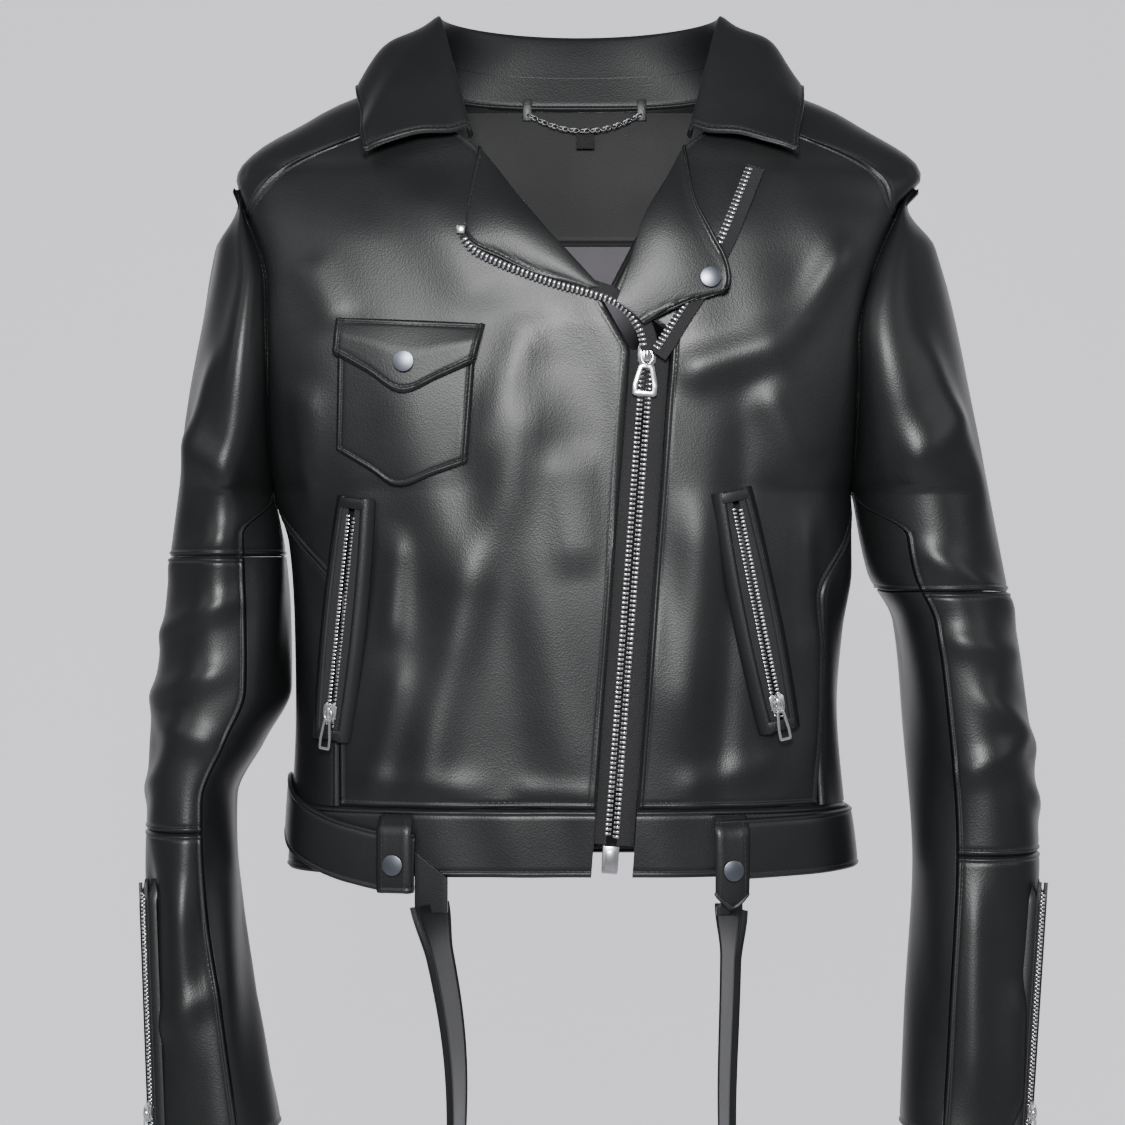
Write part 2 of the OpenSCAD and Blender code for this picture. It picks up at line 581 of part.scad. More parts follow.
// Frame on the pocket line: local Z runs up the zip and -Y faces outwards
module on_pocket(side, below) {
    k = keeper(side);
    a = front_point(hp_top[k][0], hp_top[k][1], hp_stand);
    b = front_point(hp_bottom[k][0], hp_bottom[k][1], hp_stand);
    up = unit(a - b);
    m = (hp_top[k] + hp_bottom[k]) / 2;
    n0 = torso_normal(front_angle(m[0], m[1]), m[1]);
    n = unit(n0 - (n0 * up) * up);
    x = cross(up, n);
    o = a - up * below;
    multmatrix([[x[0], -n[0], up[0], o[0]], [x[1], -n[1], up[1], o[1]],
        [x[2], -n[2], up[2], o[2]], [0, 0, 0, 1]]) children();
}
small_row = (small_chain_w - row_gap) / 2;
module pocket_zip(side) {
    color(STEEL) on_pocket(side, 6) {
        tooth_row(-1, small_row, row_gap, pocket_zip_l - 12, small_t, 2.4);
        tooth_row(1, small_row, row_gap, pocket_zip_l - 12, small_t, 2.4);
    }
    color(TAPE) on_pocket(side, pocket_zip_l / 2) for (s = [-1, 1])
        translate([s * (small_chain_w / 2 + 3.2), 0, 0])
            cube([6, tape_t, pocket_zip_l - 4], center = true);
}
welt_w = 9;
module pocket_welt(side) {
    h = small_t / 2 + slider_clear + plate_t + 0.5;
    color(BLACK) on_pocket(side, pocket_zip_l / 2) difference() {
        translate([0, h / 2 + 0.6, 0])
            cube([2 * welt_w + 6, leather_t, pocket_zip_l + 8], center = true);
        cube([small_chain_w + 6, 12, pocket_zip_l - 4], center = true);
    }
}
module pocket_slider(side) {
    color(STEEL) on_pocket(side, pocket_zip_l - 12) slider(small_chain_w + 2.4, 9, small_t, row_gap);
}
module pocket_puller(side) {
    color(STEEL) on_pocket(side, pocket_zip_l - 12) puller(8, 20, 4.6, small_t);
}
module pocket_bags() {
    color(SATIN) for (side = [RIGHT, LEFT]) let (x = side < 0 ? -150 : 110)
        front_patch([x - 12 * side - 40, -400], [x - 12 * side + 40, -400],
            [x - 12 * side + 34, -275], [x - 12 * side - 34, -275],
            5, 6, -leather_t - layer_gap, 2 * lining_t);
}

// ---- Sleeves: sections stacked along Z ----
arm_gap = 1.5;
elbow_z = [-elbow_drop_right, -elbow_drop_left];
elbow_y = mid_y;
function arm_in(side, z) = side < 0
    ? (z > -armpit_drop ? half_width(side, z) + seam_gap
        : lookup(z, [[-cuff_drop, reach_right - 1 - cuff_width], [-571, 203], [-514, 213],
            [-445, 219], [-410, 202], [-376, waist_half_right + 4], [-334, waist_half_right + 5],
            [-285, waist_half_right + 8], [-armpit_drop, waist_half_right + 14 + arm_gap]]))
    : (z > -armpit_drop ? half_width(side, z) + seam_gap
        : lookup(z, [[-cuff_drop, reach_left - 3 - cuff_width], [-576, 205], [-477, 211],
            [-394, 207], [-334, 200], [-303, 184],
            [-armpit_drop, waist_half_left + 10 + arm_gap]]));
function arm_out(side, z) = side < 0
    ? lookup(z, [[-cuff_drop, reach_right - 1], [-565, reach_right + 2], [-463, reach_right + 7],
        [-415, reach_right + 5], [-344, reach_right - 2], [-301, reach_right - 6],
        [-233, reach_right - 14], [-133, reach_right - 29], [-72, shoulder_half + 8],
        [-shoulder_drop, shoulder_half + 1]])
    : lookup(z, [[-cuff_drop, reach_left - 6], [-590, reach_left + 1], [-528, reach_left + 6.5],
        [-461, reach_left + 8], [-362, reach_left - 1], [-298, reach_left - 13],
        [-184, reach_left - 35], [-123, reach_left - 48], [-72, shoulder_half + 2],
        [-shoulder_drop, shoulder_half - 1]]);
function arm_deep(z) = lookup(z, [[-cuff_drop, cuff_half_depth], [-560, cuff_half_depth + 3],
    [-464, arm_half_depth - 8], [-380, arm_half_depth - 2], [-300, arm_half_depth],
    [-armpit_drop, arm_half_depth], [-200, 44], [-150, 34], [-80, 18], [-shoulder_drop, 3]]);
function arm_mid(z) = mid_y - lookup(z, [[-cuff_drop, cuff_forward], [-560, cuff_forward - 12],
    [-464, cuff_forward - 26], [-380, 3], [-330, 0]]);
// Section angle 0 is inside, 180 outside; the front is negative
function arm_at(side, a, z) = let (slot = z < -armpit_drop ? 0 : armhole_half(z))
    [side * lerp(arm_in(side, z), arm_out(side, z), (1 - cos(a)) / 2),
     arm_mid(z) + (a < 0 ? -1 : 1) * slot * (1 + cos(a)) / 2 + arm_deep(z) * sin(a), z];
function arm_normal(side, a, z) = let (
    da = arm_at(side, a + 1, z) - arm_at(side, a - 1, z),
    n = unit([da[1], -da[0], 0])) -side * n;
function arm_point(side, a, z, off) = let (b = a < 0 ? min(a, -1.2) : max(a, 1.2))
    arm_at(side, a, z) + off * arm_normal(side, b, z);
// Joint line of the elbow: an arc round the elbow axis
function joint_z(side, y, r) = elbow_z[keeper(side)] + sqrt(max(0, r * r - pow(y - elbow_y, 2)));
elbow_gap = 1;
arm_seam_a = 62;
elbow_low = [-464, -478];
// A sleeve panel from angle a0 to a1 with a row of points at each height. Where joint is
// -1 or 1 its lowest or highest row follows the joint line, which fades out over a short way
module arm_panel(side, a0, a1, rows, joint, nu) {
    end = joint < 0 ? rows[0] : rows[len(rows) - 1];
    way = joint < 0 ? min(36, -armpit_drop - 1 - end) : 60;
    grid = function(o) [for (z = rows) [for (i = [0 : nu]) let (
        a = wrap(lerp(a0(z), a1(z), i / nu)), p = arm_point(side, a, z, o),
        line = joint_z(side, p[1], elbow_joint_r + (joint < 0 ? elbow_gap : 0)),
        zz = z + (joint == 0 ? 0 : (line - end) * clamp01(1 - abs(z - end) / way)),
        q = arm_point(side, a, zz, o)) [q[0], p[1], zz]]];
    shell(grid(0), grid(-leather_t));
}
function wrap(b) = b < -180 ? b + 360 : b;
function seam_open(z) = 3 + (arm_seam_a - 3) * clamp01((-armpit_drop - z) / 30);
cap_top = -shoulder_drop - 1;
elbow_end = function(side) elbow_z[keeper(side)] + elbow_joint_r - 24;
function upper_rows(side) = spaced(elbow_end(side), -armpit_drop - 1, 5);
function elbow_rows(side) = spaced(elbow_low[keeper(side)] + elbow_gap / 4, elbow_end(side), 8);
function cuff_rows(side) = spaced(-cuff_drop, elbow_low[keeper(side)] - elbow_gap / 4, 8);
function outside_a(z) = -arm_seam_a - 0.4;
module upper_sleeve(side) {
    a = function(z) z > -armpit_drop - 0.5 ? -1.2 : -seam_open(z) - 0.4;
    color(BLACK) arm_panel(side, a, function(z) -360 - a(z),
        concat(upper_rows(side), spaced(-armpit_drop, cap_top, 13)), -1, 20);
}
module under_sleeve(side) {
    color(BLACK) arm_panel(side, function(z) -seam_open(z), function(z) seam_open(z),
        upper_rows(side), -1, 8);
}
module elbow_panel(side) {
    color(BLACK) arm_panel(side, function(z) outside_a(z), function(z) -360 - outside_a(z),
        elbow_rows(side), 1, 20);
}
module forearm(side) {
    color(BLACK) arm_panel(side, function(z) outside_a(z), function(z) -360 - outside_a(z),
        cuff_rows(side), 0, 20);
}
module under_forearm(side) {
    color(BLACK) arm_panel(side, function(z) -arm_seam_a, function(z) arm_seam_a,
        concat(cuff_rows(side), elbow_rows(side)), 1, 8);
}

// ---- Cuff zips on the outer edge of the forearms ----
cuff_angle = -148;
seat_clear = 0.6;                  // under the slider's back plate
cuff_fold = 3.4;
cuff_zip_z = [-cuff_drop + cuff_zip_l, -cuff_drop + 2];
// How far the leather rises above a straight line between the ends of the zip
function cuff_bulge(side) = let (
    ends = [for (z = cuff_zip_z) arm_point(side, cuff_angle, z, 0)],
    n = arm_normal(side, cuff_angle, (cuff_zip_z[0] + cuff_zip_z[1]) / 2))
    max([for (z = spaced(cuff_zip_z[0], cuff_zip_z[1], 10)) let (
        up = unit(ends[0] - ends[1]), d = arm_point(side, cuff_angle, z, 0) - ends[0])
        (d - (d * up) * up) * n]);
function cuff_stand(side) = small_t / 2 + slider_clear + plate_t + seat_clear + cuff_bulge(side);
module on_cuff(side, below) {
    a = arm_point(side, cuff_angle, cuff_zip_z[0], cuff_stand(side));
    b = arm_point(side, cuff_angle, cuff_zip_z[1], cuff_stand(side));
    up = unit(a - b);
    n0 = arm_normal(side, cuff_angle, (cuff_zip_z[0] + cuff_zip_z[1]) / 2);
    n = unit(n0 - (n0 * up) * up);
    x = cross(up, n);
    o = a - up * below;
    multmatrix([[x[0], -n[0], up[0], o[0]], [x[1], -n[1], up[1], o[1]],
        [x[2], -n[2], up[2], o[2]], [0, 0, 0, 1]]) children();
}
module cuff_zip(side) {
    color(STEEL) on_cuff(side, 4) {
        tooth_row(-1, small_row, row_gap, cuff_zip_l - 8, small_t, 2.4);
        tooth_row(1, small_row, row_gap, cuff_zip_l - 8, small_t, 2.4);
    }
    // Each tape is folded down to the leather along its outer edge
    color(TAPE) on_cuff(side, cuff_zip_l / 2) for (s = [-1, 1]) {
        translate([s * (small_chain_w / 2 + 3.2), 0, 0])
            cube([6, tape_t, cuff_zip_l - 4], center = true);
        translate([s * (small_chain_w / 2 + 6.2 - tape_t / 2), cuff_fold / 2, 0])
            cube([tape_t, cuff_fold, cuff_zip_l - 4], center = true);
    }
}
module cuff_slider(side) {
    color(STEEL) on_cuff(side, cuff_zip_l - 12) slider(small_chain_w + 2.4, 9, small_t, row_gap);
}
module cuff_puller(side) {
    color(STEEL) on_cuff(side, cuff_zip_l - 12) puller(8, 18, 4.6, small_t);
}

back_panel();
back_yoke();
front_panel(RIGHT);  // front_panel_right
front_panel(LEFT);  // front_panel_left
front_yoke(RIGHT);  // front_yoke_right
front_yoke(LEFT);  // front_yoke_left
side_panel(RIGHT);  // side_panel_right
side_panel(LEFT);  // side_panel_left
hem_band_front(RIGHT);  // hem_band_right
hem_band_front(LEFT);  // hem_band_left
hem_band_back();
back_facing();
lining_back();
collar_stand();
collar_fall();
lapel_right();
lapel_left();
lapel_snap_cap();
hang_chain();
neck_label();
zip_tape(RIGHT);  // zip_tape_right
zip_tape(LEFT);  // zip_tape_left
zip_teeth();
zip_stops();
main_slider();
main_puller();
chest_pocket();
chest_flap();
flap_snap_cap();
snap_studs();
pocket_welt(RIGHT);  // pocket_welt_right
pocket_welt(LEFT);  // pocket_welt_left
pocket_zip(RIGHT);  // pocket_zip_right
pocket_zip(LEFT);  // pocket_zip_left
pocket_slider(RIGHT);  // pocket_slider_right
pocket_slider(LEFT);  // pocket_slider_left
pocket_puller(RIGHT);  // pocket_puller_right
pocket_puller(LEFT);  // pocket_puller_left
pocket_bags();
belt_strap();
belt_tail(RIGHT);  // belt_tail_right
belt_tail(LEFT);  // belt_tail_left
keeper_strap(RIGHT);  // keeper_right
keeper_strap(LEFT);  // keeper_left
upper_sleeve(RIGHT);  // upper_sleeve_right
upper_sleeve(LEFT);  // upper_sleeve_left
under_sleeve(RIGHT);  // under_sleeve_right
under_sleeve(LEFT);  // under_sleeve_left
elbow_panel(RIGHT);  // elbow_panel_right
elbow_panel(LEFT);  // elbow_panel_left
forearm(RIGHT);  // forearm_right
forearm(LEFT);  // forearm_left
under_forearm(RIGHT);  // under_forearm_right
under_forearm(LEFT);  // under_forearm_left
cuff_zip(RIGHT);  // cuff_zip_right
cuff_zip(LEFT);  // cuff_zip_left
cuff_slider(RIGHT);  // cuff_slider_right
cuff_slider(LEFT);  // cuff_slider_left
cuff_puller(RIGHT);  // cuff_puller_right
cuff_puller(LEFT);  // cuff_puller_left
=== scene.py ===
"""Cropped riding jacket with a slanted front zip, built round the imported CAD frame."""
from __future__ import annotations

import logging
import math
from dataclasses import dataclass, field
from enum import Enum
from typing import Callable, Optional, Sequence

import bpy
import numpy as np
from mathutils import Matrix, Vector

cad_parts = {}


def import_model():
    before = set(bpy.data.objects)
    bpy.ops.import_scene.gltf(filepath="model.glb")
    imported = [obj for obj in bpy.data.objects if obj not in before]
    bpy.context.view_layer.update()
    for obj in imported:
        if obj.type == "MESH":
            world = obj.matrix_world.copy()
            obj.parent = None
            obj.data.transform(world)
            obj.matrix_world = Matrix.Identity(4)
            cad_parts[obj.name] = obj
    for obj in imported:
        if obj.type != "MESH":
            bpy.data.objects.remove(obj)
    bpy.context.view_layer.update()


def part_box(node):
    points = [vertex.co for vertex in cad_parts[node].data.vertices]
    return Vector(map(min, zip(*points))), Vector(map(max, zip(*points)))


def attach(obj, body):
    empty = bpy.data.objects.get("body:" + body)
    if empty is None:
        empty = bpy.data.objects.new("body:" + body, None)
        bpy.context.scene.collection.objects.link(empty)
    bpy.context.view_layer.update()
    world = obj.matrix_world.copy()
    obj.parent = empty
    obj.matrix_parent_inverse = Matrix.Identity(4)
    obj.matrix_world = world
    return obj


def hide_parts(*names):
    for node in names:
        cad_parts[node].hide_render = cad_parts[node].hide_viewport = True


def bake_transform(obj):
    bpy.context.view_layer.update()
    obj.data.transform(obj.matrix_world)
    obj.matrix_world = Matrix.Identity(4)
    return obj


LOG = logging.getLogger("jacket")
MM = 0.001
Point = Callable[[np.ndarray, np.ndarray], np.ndarray]
Knots = Sequence[tuple[float, float]]


class Side(Enum):
    """The wearer's side; its value is the sign of X."""

    RIGHT = -1
    LEFT = 1

    @property
    def word(self) -> str:
        """The side's name as the frame spells it."""
        return self.name.lower()


class Slot(Enum):
    """Material slots of the record."""

    LEATHER = "leather"
    EDGE = "leather_edge"
    LINING = "lining"
    TAPE = "tape"
    METAL = "bright_metal"
    SNAP = "snap_metal"


# ---------------------------------------------------------------- curves
def smooth(x: np.ndarray, knots: Knots) -> np.ndarray:
    """Read a monotone cubic through knots.

    Args:
        x: places to read at.
        knots: pairs of place and value, in rising or falling order.

    Returns:
        The values, held constant past the ends.
    """
    pts = np.array(sorted(knots), float)
    kx, ky = pts[:, 0], pts[:, 1]
    x = np.clip(np.asarray(x, float), kx[0], kx[-1])
    h = np.diff(kx)
    d = np.diff(ky) / h
    m = np.zeros(len(kx))
    m[0], m[-1] = d[0], d[-1]
    for i in range(1, len(kx) - 1):
        if d[i - 1] * d[i] > 0:
            w1, w2 = 2 * h[i] + h[i - 1], h[i] + 2 * h[i - 1]
            m[i] = (w1 + w2) / (w1 / d[i - 1] + w2 / d[i])
    i = np.clip(np.searchsorted(kx, x) - 1, 0, len(h) - 1)
    t = (x - kx[i]) / h[i]
    return ((1 + 2 * t) * (1 - t) ** 2 * ky[i] + t * (1 - t) ** 2 * h[i] * m[i]
            + t * t * (3 - 2 * t) * ky[i + 1] + t * t * (t - 1) * h[i] * m[i + 1])


def lerp(a: float, b: float, t: np.ndarray) -> np.ndarray:
    """Mix a and b by t."""
    return a + (b - a) * t


def step(t: np.ndarray) -> np.ndarray:
    """Clamp t to 0..1 and ease it."""
    t = np.clip(t, 0, 1)
    return t * t * (3 - 2 * t)


def steady(value: float) -> Callable[[np.ndarray], np.ndarray]:
    """Make a curve that gives the same value everywhere."""
    return lambda z: np.full(np.shape(z), float(value))


def unit(v: np.ndarray) -> np.ndarray:
    """Scale vectors to length one."""
    return v / np.maximum(np.linalg.norm(v, axis=-1, keepdims=True), 1e-9)


def ladder(length: float, pitch: float, rim: bool = True) -> np.ndarray:
    """Place grid lines across a panel, close together at its sewn rims.

    Args:
        length: the panel's size in millimetres.
        pitch: spacing in the middle.
        rim: whether the rims need fine lines.

    Returns:
        Positions from 0 to 1.
    """
    fine = [0, .5, 1.1, 1.8, 2.5, 3.1, 3.6, 4.0, 4.5, 5.4, 7] if rim and length > 24 else [0]
    inner = np.linspace(fine[-1], length - fine[-1],
                        max(2, int((length - 2 * fine[-1]) / pitch) + 2))
    return np.concatenate([fine[:-1], inner, [length - f for f in fine[-2::-1]]]) / length


def rim_profile(d: np.ndarray) -> np.ndarray:
    """Height of a topstitched seam at a distance from the panel's edge, in millimetres."""
    return (-1.3 * np.exp(-(d / 1.1) ** 2) + .55 * np.exp(-((d - 2.1) / 1.2) ** 2)
            - .45 * np.exp(-((d - 3.9) / .7) ** 2))


@dataclass(frozen=True)
class Fold:
    """One soft drape fold: a ridge along a line in two panel coordinates."""

    a: tuple[float, float]
    b: tuple[float, float]
    wide: float
    high: float

    def lift(self, x: np.ndarray, z: np.ndarray) -> np.ndarray:
        """Height of the fold at places x, z."""
        ax, az = self.a
        dx, dz = self.b[0] - ax, self.b[1] - az
        run = math.hypot(dx, dz)
        t = ((x - ax) * dx + (z - az) * dz) / run ** 2
        off = ((x - ax) * dz - (z - az) * dx) / run
        ends = step((t + .15) / .35) * step((1.15 - t) / .35)
        return self.high * np.exp(-(off / self.wide) ** 2) * ends


def drape(folds: Sequence[Fold], x: np.ndarray, z: np.ndarray, seed: int,
          loose: float = 1.0) -> np.ndarray:
    """Add named folds and a faint seeded unevenness.

    Args:
        folds: the folds to add.
        x: first panel coordinate in millimetres.
        z: second panel coordinate in millimetres.
        seed: seed of the unevenness.
        loose: strength of the unevenness.

    Returns:
        Heights in millimetres.
    """
    rng = np.random.default_rng(seed)
    out = np.zeros(np.broadcast(x, z).shape)
    for fold in folds:
        out = out + fold.lift(x, z)
    for _ in range(7):
        kx, kz = rng.uniform(.015, .07), rng.uniform(.006, .03)
        out = out + loose * rng.uniform(.15, .5) * np.sin(
            kx * x * 2 + kz * z * 2 + rng.uniform(0, 6.28))
    return out


# ---------------------------------------------------------------- body forms
@dataclass
class TorsoForm:
    """The outer surface of the torso as closed sections along Z, in millimetres."""

    mid_y: float = -38
    round_x: float = 2.6
    shoulder_drop: float = 50
    armpit_drop: float = 250
    hem_drop: float = 448
    band_h: float = 42
    armhole_depth: float = 46
    neck_front: tuple[float, float] = (64, -37)
    v_bottom: tuple[float, float] = (14, -130)
    side_seam_x: float = 150
    half: dict[int, Knots] = field(default_factory=lambda: {
        -1: [(-490, 186), (-390, 181), (-340, 182), (-285, 186), (-250, 195), (-125, 196),
             (-70, 213), (-50, 220), (-15, 174), (0, 142), (14, 98)],
        1: [(-490, 174), (-390, 164), (-340, 168), (-300, 174), (-250, 174), (-160, 173),
            (-74, 201), (-50, 218), (-15, 174), (0, 142), (14, 98)]})
    front: Knots = ((-150, 72), (-100, 69), (-50, 55), (0, 36), (14, 26))
    back: Knots = ((-490, 60), (-390, 57), (-200, 64), (-100, 61), (-50, 52), (0, 40), (14, 32))

    def half_width(self, side: int, z: np.ndarray) -> np.ndarray:
        """Half width of a side at z."""
        return smooth(z, self.half[side])

    def armhole(self, z: np.ndarray) -> np.ndarray:
        """Half depth of the armhole at z."""
        t = np.clip((-self.shoulder_drop - z) / (self.armpit_drop - self.shoulder_drop), 0, 1)
        return self.armhole_depth * np.sin(math.pi * t) ** .7

    def at(self, a: np.ndarray, z: np.ndarray) -> np.ndarray:
        """Point at section angle a in degrees and height z."""
        a, z = np.broadcast_arrays(np.asarray(a, float), np.asarray(z, float))
        c, s = np.cos(np.radians(a)), np.sin(np.radians(a))
        w = np.where(c < 0, self.half_width(-1, z), self.half_width(1, z))
        deep = np.where(s > 0, smooth(z, self.back), smooth(z, self.front))
        slot, e = self.armhole(z), 2 / self.round_x
        x = np.sign(c) * w * np.abs(c) ** e
        y = self.mid_y + np.where(s > 0, 1, -1) * (slot + (deep - slot) * np.abs(s) ** e)
        return np.stack([x, y, z], -1)

    def normal(self, a: np.ndarray, z: np.ndarray) -> np.ndarray:
        """Outward normal at a section angle and height."""
        b = np.where(np.abs(a) < 2, np.where(np.asarray(a) < 0, -2., 2.), a)
        b = np.where(b < -90, np.maximum(b, -178), np.where(b > 90, np.minimum(b, 178), b))
        da = self.at(b + 1, z) - self.at(b - 1, z)
        dz = self.at(b, np.asarray(z) + 1.5) - self.at(b, np.asarray(z) - 1.5)
        return unit(np.cross(da, dz))

    def angle(self, x: np.ndarray, z: np.ndarray) -> np.ndarray:
        """Section angle of a place on the front from its X and Z."""
        w = np.where(np.asarray(x) < 0, self.half_width(-1, z), self.half_width(1, z))
        c = np.sign(x) * np.minimum(1, np.abs(x) / w) ** (self.round_x / 2)
        return -np.degrees(np.arccos(c))

    def on_front(self, x: np.ndarray, z: np.ndarray, off: np.ndarray = 0.) -> np.ndarray:
        """Point on the front at X and Z, raised by off."""
        x, z = np.broadcast_arrays(np.asarray(x, float), np.asarray(z, float))
        a = self.angle(x, z)
        return self.at(a, z) + np.asarray(off)[..., None] * self.normal(a, z)

    def front_normal(self, x: float, z: float) -> np.ndarray:
        """Outward normal on the front at X and Z."""
        return self.normal(self.angle(np.float64(x), np.float64(z)), np.float64(z))


FORM = TorsoForm()
CHAIN_TOP = np.array([41., -105.8, -169.])
CHAIN_END = np.array([19., -105.8, -470.])

TORSO_FOLDS = [
    Fold((-28, -190), (-72, -330), 17, 4.5), Fold((-75, -330), (-98, -440), 15, 4.0),
    Fold((-10, -230), (-2, -300), 13, 2.6), Fold((-112, -280), (-116, -345), 8, 3.0),
    Fold((-110, -360), (-128, -440), 9, 2.6), Fold((-60, -250), (-38, -440), 20, -2.5),
    Fold((-170, -190), (-166, -260), 10, 3.0), Fold((-170, -110), (-150, -150), 12, 2.4),
    Fold((-95, -60), (-60, -140), 18, 2.2), Fold((-30, -150), (-66, -235), 12, 2.4),
    Fold((60, -182), (128, -160), 13, 4.2), Fold((128, -160), (165, -100), 10, 3.4),
    Fold((74, -260), (66, -400), 15, 3.6), Fold((112, -190), (140, -240), 13, 3.0),
    Fold((138, -270), (142, -360), 8, 2.6), Fold((100, -210), (84, -440), 10, -2.4),
    Fold((150, -330), (140, -430), 9, 2.4), Fold((118, -420), (60, -436), 9, 1.6),
    Fold((-140, -432), (-60, -436), 9, 1.8), Fold((-40, -436), (10, -440), 7, 1.4),
]


# ---------------------------------------------------------------- finishes
def noise(nodes: bpy.types.Nodes, links: bpy.types.NodeLinks, vector: bpy.types.NodeSocket,
          scale: bpy.types.NodeSocket | float, detail: float) -> bpy.types.NodeSocket:
    """Add a noise texture and give its factor.

    Args:
        nodes: nodes of the tree.
        links: links of the tree.
        vector: coordinates to read.
        scale: cells per metre, as a number or a socket.
        detail: octaves.

    Returns:
        The noise factor socket.
    """
    tex = nodes.new("ShaderNodeTexNoise")
    tex.inputs["Detail"].default_value = detail
    links.new(vector, tex.inputs["Vector"])
    if isinstance(scale, float):
        tex.inputs["Scale"].default_value = scale
    else:
        links.new(scale, tex.inputs["Scale"])
    return tex.outputs["Factor"] if "Factor" in tex.outputs else tex.outputs["Fac"]


def maths(nodes: bpy.types.Nodes, links: bpy.types.NodeLinks, kind: str,
          a: bpy.types.NodeSocket, b: bpy.types.NodeSocket | float,
          c: Optional[bpy.types.NodeSocket] = None) -> bpy.types.NodeSocket:
    """Add a Math node of two or three values and give its result."""
    node = nodes.new("ShaderNodeMath")
    node.operation = kind
    for i, value in enumerate(v for v in (a, b, c) if v is not None):
        if isinstance(value, (int, float)):
            node.inputs[i].default_value = value
        else:
            links.new(value, node.inputs[i])
    return node.outputs[0]


def grain_group() -> bpy.types.NodeTree:
    """Build the shared leather grain: fine cells, soft creases and a slow mottle."""
    tree = bpy.data.node_groups.new("LeatherGrain", "ShaderNodeTree")
    face = tree.interface
    for name, value in (("Cells per metre", 900.), ("Cell depth", .5), ("Crease depth", .5)):
        sock = face.new_socket(name, in_out="INPUT", socket_type="NodeSocketFloat")
        sock.default_value = value
    for name in ("Height", "Mottle"):
        face.new_socket(name, in_out="OUTPUT", socket_type="NodeSocketFloat")
    n, k = tree.nodes, tree.links
    into, out = n.new("NodeGroupInput"), n.new("NodeGroupOutput")
    place = n.new("ShaderNodeTexCoord").outputs["Object"]
    cell = n.new("ShaderNodeTexVoronoi")
    cell.feature = "SMOOTH_F1"
    cell.inputs["Smoothness"].default_value = .35
    k.new(place, cell.inputs["Vector"])
    k.new(into.outputs[0], cell.inputs["Scale"])
    fine = noise(n, k, place, 2600., 2.)
    crease_map = n.new("ShaderNodeMapping")
    crease_map.inputs["Scale"].default_value = (1, 1, .45)
    k.new(place, crease_map.inputs["Vector"])
    crease = noise(n, k, crease_map.outputs[0], 70., 5.)
    slow = noise(n, k, place, 14., 3.)
    cells = maths(n, k, "MULTIPLY", cell.outputs["Distance"], into.outputs[1])
    cells = maths(n, k, "MULTIPLY_ADD", fine, .25, cells)
    total = maths(n, k, "MULTIPLY_ADD", crease, into.outputs[2], cells)
    k.new(total, out.inputs[0])
    k.new(slow, out.inputs[1])
    return tree


def wear_group() -> bpy.types.NodeTree:
    """Build the shared wear: a noisy mask that is strongest on raised edges."""
    tree = bpy.data.node_groups.new("EdgeWear", "ShaderNodeTree")
    face = tree.interface
    sock = face.new_socket("Amount", in_out="INPUT", socket_type="NodeSocketFloat")
    sock.default_value = .5
    face.new_socket("Mask", in_out="OUTPUT", socket_type="NodeSocketFloat")
    n, k = tree.nodes, tree.links
    into, out = n.new("NodeGroupInput"), n.new("NodeGroupOutput")
    geometry = n.new("ShaderNodeNewGeometry")
    ramp = n.new("ShaderNodeMapRange")
    ramp.inputs["From Min"].default_value = .5
    ramp.inputs["From Max"].default_value = .58
    k.new(geometry.outputs["Pointiness"], ramp.inputs["Value"])
    place = n.new("ShaderNodeTexCoord").outputs["Object"]
    speck = noise(n, k, place, 120., 4.)
    mask = maths(n, k, "MULTIPLY", ramp.outputs[0], speck)
    k.new(maths(n, k, "MULTIPLY", mask, into.outputs[0]), out.inputs[0])
    return tree


def weave_group() -> bpy.types.NodeTree:
    """Build the shared weave: crossed threads at a given count per metre."""
    tree = bpy.data.node_groups.new("Weave", "ShaderNodeTree")
    face = tree.interface
    sock = face.new_socket("Threads per metre", in_out="INPUT", socket_type="NodeSocketFloat")
    sock.default_value = 1200.
    face.new_socket("Height", in_out="OUTPUT", socket_type="NodeSocketFloat")
    n, k = tree.nodes, tree.links
    into, out = n.new("NodeGroupInput"), n.new("NodeGroupOutput")
    place = n.new("ShaderNodeTexCoord").outputs["Object"]
    parts = n.new("ShaderNodeSeparateXYZ")
    k.new(place, parts.inputs[0])
    waves = []
    for axis in ("X", "Z"):
        run = maths(n, k, "MULTIPLY", parts.outputs[axis], into.outputs[0])
        waves.append(maths(n, k, "SINE", maths(n, k, "MULTIPLY", run, 3.1416), 0.))
    product = maths(n, k, "MULTIPLY", waves[0], waves[1])
    k.new(maths(n, k, "MULTIPLY_ADD", product, .5, noise(n, k, place, 900., 2.)), out.inputs[0])
    return tree


